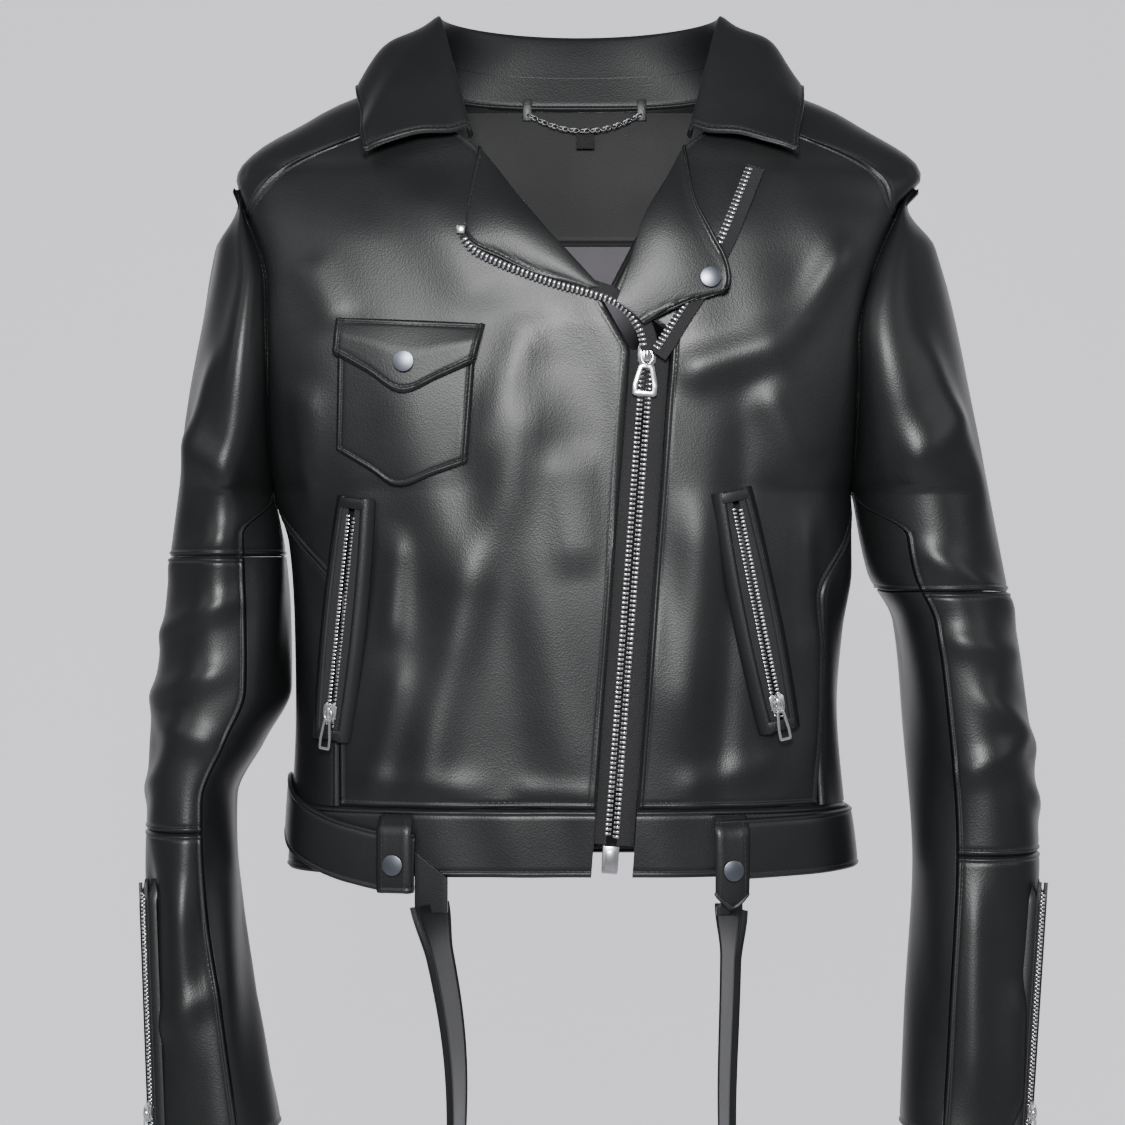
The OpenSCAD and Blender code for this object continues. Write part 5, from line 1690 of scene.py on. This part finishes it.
# ---------------------------------------------------------------- collar and lapels
@dataclass
class Collar:
    """A stand round the neck and a fall that rolls over it and spreads on the shoulders."""

    height: float = 48
    fall: float = 60
    front: float = .6

    def lines(self, u: np.ndarray) -> tuple[np.ndarray, np.ndarray, np.ndarray]:
        """The neck seam, the roll and the free edge at u round the neck, right front to left.

        Args:
            u: places from 0 to 1.

        Returns:
            Points of the three lines.
        """
        h, s = np.abs(2 * u - 1), np.where(u < .5, -1., 1.)
        t = np.clip((h - self.front) / (1 - self.front), 0, 1)
        turn = np.radians(np.clip(h / self.front, 0, 1) * 90)
        nx, nz = FORM.neck_front
        x = lerp(98, nx, t ** 1.2)
        zf = lerp(14., nz, t)
        front = FORM.on_front(s * x, np.minimum(zf, 13.), np.zeros(u.shape)) + [0, 2, 0]
        front[..., 2] = zf
        a = np.clip(90 - 90 * s * np.clip(h / self.front, 0, 1), 1, 179)
        z = 14 * np.cos(np.radians(a)) ** 2
        back = FORM.at(a, z) + (-WALL - .5) * FORM.normal(a, z) + [0, 0, .5]
        neck = np.where((h > self.front)[..., None], front, back)
        roll_f = np.stack([s * lerp(88, nx + 3, t ** 1.5), lerp(-46, -92, t ** .9),
                           lerp(50, nz + 4, t ** 1.6)], -1)
        rise = lerp(self.height, 50, np.sin(turn) ** 2)
        roll_b = np.stack([s * 88 * np.sin(turn), -46 + 54 * np.cos(turn), rise], -1)
        roll = np.where((h > self.front)[..., None], roll_f, roll_b)
        edge_f = np.stack([s * lerp(140, 131, t), lerp(-50, -97, t ** .6), lerp(4, -46, t)], -1)
        edge_b = np.stack([s * 140 * np.sin(turn) ** .7, -50 + 82 * np.cos(turn),
                           lerp(self.height - self.fall, 4, np.sin(turn) ** 2)], -1)
        edge = np.where((h > self.front)[..., None], edge_f, edge_b)
        return neck, roll, edge

    @staticmethod
    def away(p: np.ndarray, rise: float) -> np.ndarray:
        """Direction away from the neck's axis, tilted up by rise."""
        return unit(np.stack([p[..., 0], p[..., 1] + 38, np.full(p.shape[:-1], rise)], -1))

    def stand_at(self, u: np.ndarray, v: np.ndarray) -> np.ndarray:
        """Point of the stand, whose visible face is the inner one."""
        w = lerp(.04, .96, u)
        neck, roll, _ = self.lines(w)
        p = lerp(neck, roll, (v * .5)[..., None])
        return p - .2 * self.away(p, 0)

    def fall_at(self, u: np.ndarray, v: np.ndarray) -> np.ndarray:
        """Point of the fall: up the inside, over the roll and down to the free edge."""
        w = lerp(.006, .994, u)
        neck, roll, edge = self.lines(w)
        out = self.away(roll, 0)
        inner = lerp(neck, roll, .46) - .5 * self.away(roll, 0)
        high = lerp(neck, roll, .86) - .4 * out
        crest = roll + out * 1.6 + [0, 0, 2.2]
        over = lerp(roll, edge, .1) + self.away(roll, 20) * 6.0 + [0, 0, -1.]
        mid = lerp(roll, edge, .38) + self.away(roll, 26) * 10.5
        low = lerp(roll, edge, .72) + self.away(roll, 30) * 7.5
        end = edge + self.away(edge, 30) * 3.4
        stops = np.array([0, .13, .24, .33, .52, .77, 1.])
        rows = np.stack([inner, high, crest, over, mid, low, end])
        return self.through(rows, stops, v)

    @staticmethod
    def through(rows: np.ndarray, stops: np.ndarray, v: np.ndarray) -> np.ndarray:
        """Pass a smooth curve through the rows of points at v.

        Args:
            rows: points by stop.
            stops: the stops' places from 0 to 1.
            v: where to read.

        Returns:
            Points on the curves.
        """
        i = np.clip(np.searchsorted(stops, v, side="right") - 1, 0, len(stops) - 2)
        slope = np.zeros_like(rows)
        slope[1:-1] = (rows[2:] - rows[:-2]) / (stops[2:] - stops[:-2])[:, None, None, None]
        slope[0] = (rows[1] - rows[0]) / (stops[1] - stops[0])
        slope[-1] = (rows[-1] - rows[-2]) / (stops[-1] - stops[-2])
        wide = (stops[i + 1] - stops[i])
        t = ((v - stops[i]) / wide)[..., None]
        r, c = np.indices(v.shape)
        a, b = rows[i, r, c], rows[i + 1, r, c]
        ma, mb = slope[i, r, c] * wide[..., None], slope[i + 1, r, c] * wide[..., None]
        return ((1 + 2 * t) * (1 - t) ** 2 * a + t * (1 - t) ** 2 * ma
                + t * t * (3 - 2 * t) * b + t * t * (t - 1) * mb)

    def build(self) -> None:
        """Cut and sew both parts of the collar."""
        def inside(u: np.ndarray, v: np.ndarray) -> np.ndarray:
            """Points outside the stand, since its good face looks inwards."""
            p = self.stand_at(u, v)
            return p + 40 * self.away(p, 0)

        def under(u: np.ndarray, v: np.ndarray) -> np.ndarray:
            """Points between the two layers of the fall."""
            w = lerp(.006, .994, u)
            neck, _, edge = self.lines(w)
            return lerp(neck, edge, .5) + [0, 0, -12] + 0 * v[..., None]

        def waves(u: np.ndarray, v: np.ndarray) -> np.ndarray:
            """Soft waves of the fall."""
            fade = step((v - .3) / .3)
            return fade * (1.2 * np.sin(u * 31 + 1) + .8 * np.sin(u * 53 + v * 5)
                           + 1.1 * np.sin(v * 9 + u * 12))
        Cut("collar_stand_leather", self.stand_at, inside, 330, 26, "b", 2., 3.6,
            finish=COLLAR_LEATHER, nodes=("collar_stand",)).make()
        Cut("collar_fall_leather", self.fall_at, under, 440, 110, "lrt", 2.2, 3.4,
            finish=COLLAR_LEATHER, nodes=("collar_fall",), relief=waves).make()


@dataclass
class Lapels:
    """The right lapel, folded back flat, and the left one, held by a snap."""

    right_off: float = 3.6
    left_off: float = 6.2
    snap: tuple[float, float] = (79, -123)

    def build(self) -> None:
        """Cut both lapels and set the snap."""
        Patch("lapel_right_leather",
              [(4, -130), (-2.5, -128.3), (-26.7, -122.1), (-50.8, -111.6), (-67.6, -103),
               (-71.9, -93)],
              [(12.6, -128.6), (-8, -106), (-28.5, -84.3), (-50, -55.8), (-63, -39)],
              [(4, -130), (12.6, -128.6)], [(-71.9, -93), (-68, -66), (-63, -39)],
              self.right_off, (60, 110), nodes=("lapel_right",), sewn="lt",
              bow=lambda u, v: 2.6 * np.sin(np.pi * u) ** .7 * np.sin(np.pi * v) ** .5,
              follow=.5).build()
        Patch("lapel_left_leather",
              [(22, -138), (31, -110), (38, -88), (54, -60), (65, -40)],
              [(39, -151.5), (53.3, -144.7), (69.4, -137.2), (81, -133.4), (87.4, -131)],
              [(22, -138), (39, -151.5)],
              [(65, -40), (70.4, -72), (81.6, -95), (90, -111), (92.3, -122), (91.2, -128),
               (87.4, -131)],
              self.left_off, (60, 100), Carrier("lapel_body"), ("lapel_left",), sewn="rt",
              bow=lambda u, v: 2.4 * np.sin(np.pi * v) ** .6 * np.sin(np.pi * u) ** .7 - .4 * u
              + 1.5 * np.exp(-((1 - v) / .055) ** 2) + 1.2 * np.exp(-((1 - u) / .06) ** 2),
              follow=.5).build()
        cap(self.snap, self.left_off + 1.4, "lapel_snap_cap_dome", Carrier("lapel_body"),
            ("lapel_snap_cap",))


def cap(spot: tuple[float, float], off: float, name: str, carrier: Carrier,
        nodes: Sequence[str] = ()) -> None:
    """Set a domed snap cap on the front.

    Args:
        spot: its X and Z.
        off: height of its seat above the front.
        name: name of the piece.
        carrier: what it rides on.
        nodes: CAD nodes that it stands for.
    """
    p = FORM.on_front(np.float64(spot[0]), np.float64(spot[1]), off)
    n = FORM.front_normal(*spot)
    up = unit(np.array([0, 0, 1.]) - n[2] * n)
    mount([dome(6.3, 2.4)], name, p, (np.cross(up, n), up, n), CAP_METAL, carrier, nodes)


# ---------------------------------------------------------------- chest pocket
@dataclass
class ChestPocket:
    """A pointed patch pocket and its flap with a snap."""

    bag_off: float = 3.0
    flap_off: float = 4.0
    rise: float = 4.4
    snap: tuple[float, float] = (-107, -174)

    def build(self) -> None:
        """Cut the bag and the flap, and set the snap."""
        Patch("chest_pocket_leather", [(-150, -227), (-149, -168)], [(-69, -236), (-64, -172)],
              [(-150, -227), (-130, -239), (-111, -250), (-90, -243), (-69, -236)],
              [(-149, -168), (-64, -172)], self.bag_off, (84, 70), nodes=("chest_pocket",),
              sewn="lrb", bow=lambda u, v: 1.8 * np.sin(np.pi * u) ** .7 * np.sin(
                  np.pi * np.clip(v * .6 + .1, 0, 1)) ** .5, follow=.7).build()
        Patch("chest_flap_leather", [(-151, -168), (-149, -146)], [(-64, -174), (-58, -150)],
              [(-151, -168), (-130, -180), (-108, -193), (-86, -184), (-64, -174)],
              [(-149, -146), (-58, -150)], self.flap_off, (90, 36), Carrier("flap_body"),
              ("chest_flap",), sewn="lrbt", follow=.7,
              bow=lambda u, v: self.rise * np.clip((1 - v) * 2.2, 0, 1) ** .8
              - .4 * np.abs(2 * u - 1) ** 3).build()
        cap(self.snap, self.flap_off + self.rise + 1.9, "flap_snap_cap_dome", Carrier("flap_body"),
            ("flap_snap_cap",))


# ---------------------------------------------------------------- belt
@dataclass
class Belt:
    """The strap round the hem, its keepers and the two tails that hang at the front."""

    wide: float = 38
    thick: float = 3
    off: float = 3.8
    middle: Knots = ((-180, -449), (-160, -462), (-135, -476), (-120, -481), (-90, -475),
                     (0, -470), (90, -470), (160, -458), (180, -449))
    keepers: tuple[float, float] = (-113, 92)
    keeper_tip: tuple[float, float] = (-500, -511)
    snaps: tuple[float, float] = (-482, -485)
    tails: tuple[tuple[float, float], ...] = ((-91, -512), (91, -514))
    stubs: tuple[tuple[float, float], ...] = ((20, -474), (16, -492))
    tail: float = 215

    def strap_at(self, u: np.ndarray, v: np.ndarray) -> np.ndarray:
        """Point of the strap, which starts at the left keeper and ends at the right one."""
        z0 = np.float64(-470)
        a0 = FORM.angle(np.float64(self.keepers[1] - 9), z0)
        a1 = 360 + FORM.angle(np.float64(self.keepers[0] + 12), z0)
        b = lerp(a0, a1, u)
        a = np.where(b > 180, b - 360, b)
        z = smooth(a, self.middle) + (v - .5) * self.wide
        flat = np.maximum(z, -490)
        p, n = FORM.at(a, flat), FORM.normal(a, np.full(a.shape, -470.))
        crown = .5 * np.sin(np.pi * v) ** .5 + .5 * np.sin(b * .21) * np.sin(b * .057)
        p = p + (self.off + crown)[..., None] * n
        p[..., 2] = z
        return p

    def front_at(self, x: np.ndarray, z: np.ndarray, off: float) -> np.ndarray:
        """Point in front of the hem band at x, z, straight down below it."""
        p = FORM.on_front(x, np.maximum(z, -490.), np.full(np.broadcast(x, z).shape, off))
        p[..., 2] = z
        return p

    def build(self) -> None:
        """Cut the strap, stubs, keepers and tails."""
        Cut("belt_strap_leather", self.strap_at, middle(self.strap_at), 930, self.wide, "tb",
            self.thick, 4.4, nodes=("belt_strap",)).make()
        for k, side in enumerate(Side):
            self.stub(k, side)
            self.keeper(k, side)
            self.hanging(k, side)

    def stub(self, k: int, side: Side) -> None:
        """Fold the strap down behind the keeper."""
        x, wide, top, low = self.tails[k][0], *self.stubs[k], self.tails[k][1] + .9

        def at(u: np.ndarray, v: np.ndarray) -> np.ndarray:
            """Point of the stub."""
            slant = 16 * (u if side is Side.RIGHT else 1 - u)
            return self.front_at(x + (u - .5) * wide, lerp(low, top - slant, v), self.off)
        Cut(f"belt_stub_{side.word}", at, middle(at), wide, top - low, "", self.thick, 4).make()

    def keeper(self, k: int, side: Side) -> None:
        """Sew a belt keeper with its pointed tip and snap."""
        x, tip, half = self.keepers[k], self.keeper_tip[k], 10.5
        point = 0 if side is Side.RIGHT else 9

        def at(u: np.ndarray, v: np.ndarray) -> np.ndarray:
            """Point of the keeper."""
            low = tip + point * np.abs(2 * u - 1) ** 1.3
            z = lerp(low, -452., v)
            bow = 6.9 + 1.3 * np.sin(np.pi * np.clip(v * 1.1, 0, 1)) ** .6
            off = bow - 5.6 * np.clip((v - .8) / .2, 0, 1) ** 1.5
            p = FORM.on_front(x + (2 * u - 1) * half, np.maximum(z, -490.), off)
            p[..., 2] = z
            return p
        carrier = Carrier(f"keeper_{side.word}_body")
        Cut(f"keeper_{side.word}_leather", at, middle(at), 21, 52, "lrb", 2.2, 3, carrier=carrier,
            nodes=(f"keeper_{side.word}",)).make()
        cap((x, self.snaps[k]), 8.4, f"keeper_{side.word}_cap", carrier)

    def hanging(self, k: int, side: Side) -> None:
        """Twist a belt tail edge-on below its stub."""
        x, z0 = self.tails[k][0], self.tails[k][1] + 6
        base = self.front_at(np.float64(x), np.float64(-470), self.off - self.thick / 2)
        drift, first_turn = (18, 56) if side is Side.RIGHT else (-2, 65)
        sign = 1 if side is Side.RIGHT else -1

        def at(u: np.ndarray, v: np.ndarray) -> np.ndarray:
            """Point of the tail, from its end up to the stub."""
            w = 1 - v
            turn = np.radians((first_turn + 13 * step(w / .15) + (71 - first_turn) * w) * sign)
            mid = x + drift * np.sin(np.radians(90 * np.clip(w * 1.6, 0, 1)))
            curl = 1.6 * np.sin(w * 7 + k)
            round_end = 7 * np.clip((w - .965) / .035, 0, 1) ** 2
            s = (u - .5) * (self.wide - 2 * round_end)
            return np.stack([mid + s * np.cos(turn) + curl * w,
                             base[1] + s * np.sin(turn), z0 - self.tail * w], -1)

        def core(u: np.ndarray, v: np.ndarray) -> np.ndarray:
            """Points beside the tail."""
            return at(u, v) + 20 * np.stack([-np.sin(np.radians(82.)) * sign * np.ones(u.shape),
                                             .4 * np.ones(u.shape), 0 * u], -1)
        Cut(f"belt_tail_{side.word}_leather", at, core, self.wide, self.tail, "lrb", self.thick,
            3.6, carrier=Carrier(f"belt_tail_{side.word}_body"),
            nodes=(f"belt_tail_{side.word}",)).make()


# ---------------------------------------------------------------- neck trim
@dataclass
class NeckTrim:
    """The hang chain of curb links, its two tabs and the blank label."""

    ends: tuple[float, float] = (-34, 41)
    top: float = -3
    low: float = -14
    pitch: float = 3.5

    def chain(self) -> None:
        """Link the chain along its sag."""
        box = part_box("hang_chain")
        y = (box[0][1] + box[1][1]) / 2 / MM
        u = np.linspace(0, 1, 60)
        line = np.stack([lerp(*self.ends, u), np.full(60, y),
                         self.low + (self.top - self.low) * (2 * u - 1) ** 2], -1)
        out = np.tile([0, -1., 0], (60, 1))
        frames = Frames.on_line(line, out, self.pitch, .5)
        turned = np.arange(len(frames.place)) % 2 == 1
        tilt = np.where(turned[:, None], 1., -1.) * .75
        across = unit(frames.across + tilt * frames.out)
        frames = Frames(frames.place, frames.along, across, np.cross(frames.along, across))
        link = copies("hang_chain_links", PATTERNS.link(), frames, NICKEL, Carrier("chain_body"))
        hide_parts("hang_chain")
        for x, name in zip(self.ends, ("right", "left")):
            tab = slab([(-3, -7), (3, -7), (3, 7), (-3, 7)], 1.2, .35)
            mount([tab], f"chain_tab_{name}", (x, y + 1.9, self.top + 3),
                  ((1, 0, 0), (0, 0, 1), (0, -1, 0)), LEATHER, JACKET)

    def label(self) -> None:
        """Sew on a blank woven label."""
        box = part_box("neck_label")
        low, high = np.array(box[0]) / MM, np.array(box[1]) / MM
        mid = (low + high) / 2
        x, z = (high - low)[0] / 2, (high - low)[2] / 2
        cloth = slab([(-x, -z), (x, -z), (x, z), (-x, z)], .8, .25)
        mount([cloth], "neck_label_blank", mid, ((1, 0, 0), (0, 0, 1), (0, -1, 0)), TAPE, JACKET,
              ("neck_label",))

    def build(self) -> None:
        """Build the chain and the label."""
        self.chain()
        self.label()


def pocket_bags() -> None:
    """Hang the two pocket bags inside the fronts."""
    for side, x in ((Side.RIGHT, -138.), (Side.LEFT, 98.)):
        def at(u: np.ndarray, v: np.ndarray, x: float = x, s: int = side.value) -> np.ndarray:
            """Point of a bag with round lower corners."""
            half = lerp(40., 34., v) * (1 - .25 * (1 - np.clip(v * 5, 0, 1)) ** 2)
            spot, z = x + (2 * u - 1) * half - 3 * s * v, lerp(-400., -275., v)
            return FORM.on_front(spot, z, np.full(spot.shape, -WALL - LAYER - .2)
                                 - .6 * np.sin(np.pi * u) * np.sin(u * 14))

        nodes = ("pocket_bags",) if side is Side.RIGHT else ()
        Cut(f"pocket_bag_{side.word}", at, middle(at), 74, 125, "", 1.6, 5, finish=SATIN,
            nodes=nodes).make()


# ---------------------------------------------------------------- stage
@dataclass
class Studio:
    """Camera, soft lights, a pale floor and a pale wall behind."""

    eye: tuple[float, float, float] = (-.0109, -1.59, -.2967)
    lens: float = 77.4
    wall_y: float = 3.2
    floor_z: float = -1.75

    def camera(self) -> None:
        """Set the camera level with the jacket's front."""
        data = bpy.data.cameras.new("camera")
        data.lens = self.lens
        data.sensor_width = 36
        data.dof.use_dof = False
        obj = bpy.data.objects.new("camera", data)
        obj.location = self.eye
        obj.rotation_euler = (math.pi / 2, 0, 0)
        bpy.context.collection.objects.link(obj)
        bpy.context.scene.camera = obj

    def lamp(self, name: str, place: tuple[float, float, float], size: float, power: float,
             tint: tuple[float, float, float] = (1, 1, 1)) -> None:
        """Add a soft lamp that looks at the jacket."""
        data = bpy.data.lights.new(name, "AREA")
        data.size = size
        data.energy = power
        data.color = tint
        obj = bpy.data.objects.new(name, data)
        obj.location = place
        aim = Vector((0, -.05, -.3)) - Vector(place)
        obj.rotation_euler = aim.to_track_quat("-Z", "Y").to_euler()
        bpy.context.collection.objects.link(obj)

    def plane(self, name: str, size: float, place: tuple[float, float, float],
              turn: float, glow: float) -> bpy.types.Object:
        """Add one plain plane of the stage."""
        deselect()
        bpy.ops.mesh.primitive_plane_add(size=size, location=place, rotation=(turn, 0, 0))
        obj = bpy.context.object
        obj.name = name
        mat = bpy.data.materials.new(name)
        mat.use_nodes = True
        shader = mat.node_tree.nodes["Principled BSDF"]
        shader.inputs["Base Color"].default_value = (.93, .92, .945, 1)
        shader.inputs["Roughness"].default_value = .8
        shader.inputs["Specular IOR Level"].default_value = .2
        shader.inputs["Emission Color"].default_value = (.9, .885, .93, 1)
        shader.inputs["Emission Strength"].default_value = glow
        obj.data.materials.append(mat)
        return obj

    def build(self) -> None:
        """Set the stage."""
        self.camera()
        wall = self.plane("wall", 9, (0, self.wall_y, 0), math.pi / 2, .72)
        floor = self.plane("floor", 9, (0, 0, self.floor_z), 0, .1)
        self.lamp("front", (-.05, -1.55, .12), .3, 27)
        self.lamp("fill", (-1.3, -1.2, .6), .9, 5)
        self.lamp("side", (1.4, -1.0, .3), .9, 4)
        world = bpy.data.worlds.new("world")
        world.use_nodes = True
        world.node_tree.nodes["Background"].inputs[0].default_value = (.85, .87, .92, 1)
        world.node_tree.nodes["Background"].inputs[1].default_value = .3
        bpy.context.scene.world = world


def main() -> None:
    """Build every sub-assembly round the frame."""
    logging.basicConfig(level=logging.INFO, format="%(name)s %(message)s")
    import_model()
    Studio().build()
    torso = Torso()
    for side in Side:
        torso.front(side)
        torso.front_yoke(side)
        torso.side_panel(side)
    torso.back()
    torso.hem_band()
    torso.inside()
    pairs = sleeves()
    for sleeve, stand in zip(pairs, (3.1, 4.57)):
        sleeve.build()
        CuffZip(sleeve, stand).build()
    Collar().build()
    Lapels().build()
    ChestPocket().build()
    SlantPocket(Side.RIGHT, (-139, -262), (-153, -402)).build()
    SlantPocket(Side.LEFT, (94, -258), (122, -398)).build()
    pocket_bags()
    MainZip().build()
    Belt().build()
    NeckTrim().build()
    studs = bpy.data.objects["snap_studs"]
    studs.data.materials.clear()
    studs.data.materials.append(CAP_METAL.make())


if __name__ == "__main__":
    main()
